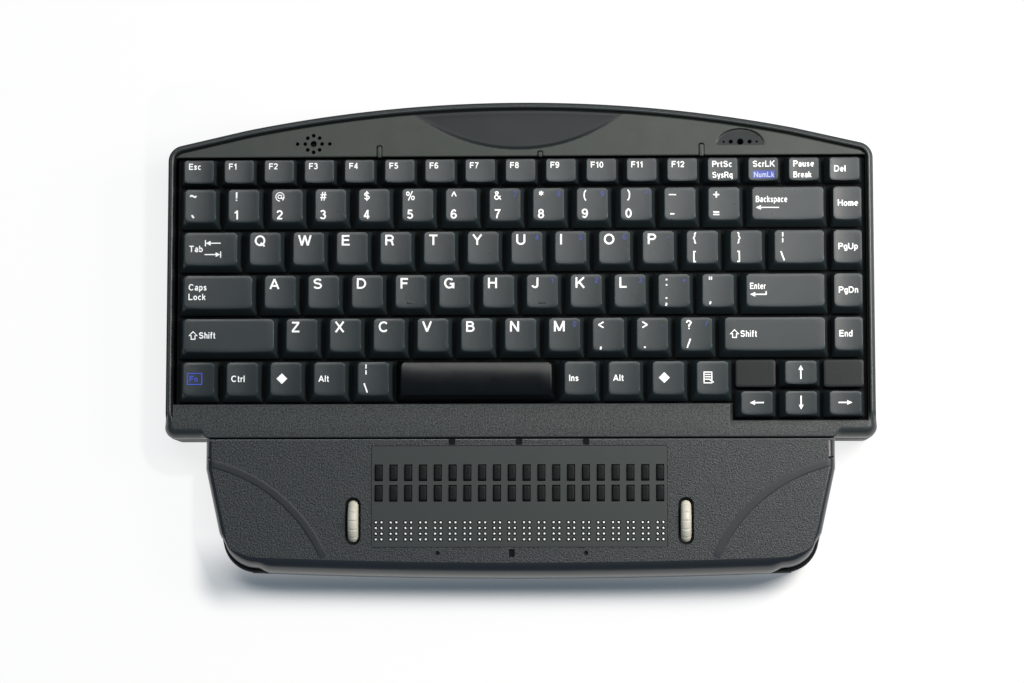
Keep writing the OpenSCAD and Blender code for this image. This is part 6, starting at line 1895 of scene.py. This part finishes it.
@dataclass
class Studio:
    """Pale floor, soft lamps and the camera of the photograph's view."""

    lens: float = 97.03
    spot: Place = (0.0374, -0.11755, 1.2251)
    turn: Place = (-5.52, 1.94, -0.1)
    case_plan: Plan = (30.0, 155.0, 74.0)
    display_plan: Plan = (-74.0, 132.0, 31.0)
    shade_from: float = 3.0
    shade_to: float = 17.0
    front_from: float = -110.0
    front_to: float = -84.0
    behind_share: float = 0.86
    glow_least: float = 0.02
    glow_more: float = 0.9
    floor_half: float = 3000.0

    def camera(self) -> None:
        """A pinhole camera above the object, turned from straight down by a rotation vector in degrees."""
        data = bpy.data.cameras.new("camera")
        data.lens, data.sensor_width = self.lens, 36.0
        vector = Vector(self.turn)
        lean = Matrix.Rotation(math.radians(vector.length), 3, vector.normalized())
        view = lean @ Matrix(((1, 0, 0), (0, -1, 0), (0, 0, -1)))
        axes = Matrix((view[0], -view[1], -view[2])).transposed().to_4x4()
        holder = bpy.data.objects.new("camera", data)
        holder.matrix_world = Matrix.Translation(self.spot) @ axes
        bpy.context.scene.collection.objects.link(holder)
        bpy.context.scene.camera = holder

    def lamp(self, name: str, spot: Sequence[float], size: Sequence[float], power: float,
             colour: Sequence[float], roll: float = 0.0) -> None:
        """A soft lamp that looks at the object.

        Args:
            name: its name.
            spot: its place in metres.
            size: its width and depth in metres.
            power: its power in watts.
            colour: its colour.
            roll: its turn about the way it looks, in degrees.
        """
        data = bpy.data.lights.new(name, "AREA")
        data.shape, data.size, data.size_y, data.energy, data.color = "RECTANGLE", *size, power, colour
        holder = bpy.data.objects.new(name, data)
        aim = (Vector((0.0, 0.0, 0.02)) - Vector(spot)).to_track_quat("-Z", "Y")
        turned = Matrix.Rotation(math.radians(roll), 4, "Z")
        holder.matrix_world = Matrix.Translation(spot) @ aim.to_matrix().to_4x4() @ turned
        bpy.context.scene.collection.objects.link(holder)

    def floor(self) -> None:
        """A wide pale floor that the camera sees almost white and that keeps the object's shadow.

        The floor glows for the camera, more the farther it is from the plan of case and display, each given by
        its middle Y, half width and half depth, so that the dark contact shadow stays close in front.
        """
        shader = Shader("pale_floor")
        grain = shader.noise(3.0, 3.0, 0.5)
        shader.feed(Base_Color=shader.shade((248, 248, 248), 0.985 + grain * 0.02), Roughness=0.8,
                    Specular_IOR_Level=0.1)
        rays = shader.tree.nodes.new("ShaderNodeLightPath")
        seen = Signal(shader.tree, rays.outputs["Is Camera Ray"])
        for name in ("Is Glossy Ray", "Is Transmission Ray"):
            seen = seen.most(Signal(shader.tree, rays.outputs[name]))
        glow = shader.node("ShaderNodeEmission", None, {"Color": (1.0, 1.0, 1.0, 1.0), "Strength": 1.0})
        both = shader.tree.nodes.new("ShaderNodeMixShader")
        reaches = []
        for middle, half_x, half_y in (self.case_plan, self.display_plan):
            across = (abs(shader.along("X")) - half_x).most(0.0)
            ahead = (abs(shader.along("Y") - middle) - half_y).most(0.0)
            reaches.append((across * across + ahead * ahead) ** 0.5)
        away = shader.smooth(reaches[0].least(reaches[1]), self.shade_from, self.shade_to)
        behind = shader.smooth(shader.along("Y"), self.front_from, self.front_to) * self.behind_share
        connect(shader.tree, both.inputs[0], seen * (self.glow_least + away.most(behind) * self.glow_more))
        shader.tree.links.new(shader.surface.outputs[0], both.inputs[1])
        shader.tree.links.new(glow.socket, both.inputs[2])
        shader.tree.links.new(both.outputs[0], shader.end.inputs["Surface"])
        form = Form()
        side = np.linspace(-self.floor_half, self.floor_half, 9)
        x, y = np.meshgrid(side, side)
        form.grid(np.stack([x, y, np.zeros_like(x)], -1))
        form.build("floor", [shader.material])

    def sky(self) -> None:
        """Even pale surroundings."""
        world = bpy.data.worlds.new("surroundings")
        world.use_nodes = True
        tree = world.node_tree
        tree.nodes.clear()
        back = tree.nodes.new("ShaderNodeBackground")
        back.inputs["Strength"].default_value = 0.2
        end = tree.nodes.new("ShaderNodeOutputWorld")
        tree.links.new(back.outputs[0], end.inputs["Surface"])
        back.inputs["Color"].default_value = (0.66, 0.92, 1.16, 1.0)
        bpy.context.scene.world = world

    def build(self) -> None:
        """Sets the view transform and builds the stage."""
        bpy.context.scene.view_settings.view_transform = "Standard"
        self.camera()
        self.floor()
        self.sky()
        self.lamp("rear_strip", (0.05, 0.38, 1.25), (1.1, 0.36), 8.6, (1.0, 0.98, 0.95), -8.0)
        self.lamp("right_softbox", (0.38, 0.13, 0.38), (0.26, 0.26), 3.3, (1.0, 0.95, 0.89))


def main() -> None:
    """Builds the notetaker and its studio."""
    logging.basicConfig(level=logging.INFO, format="%(message)s")
    Studio().build()
    finishes = Finishes()
    case = KeyboardCase(finishes)
    case.build()
    RearPanel(finishes, case).build()
    Keyboard(finishes).build()
    BrailleDisplay(finishes).build()
    Carried(finishes).dress()


if __name__ == "__main__":
    main()
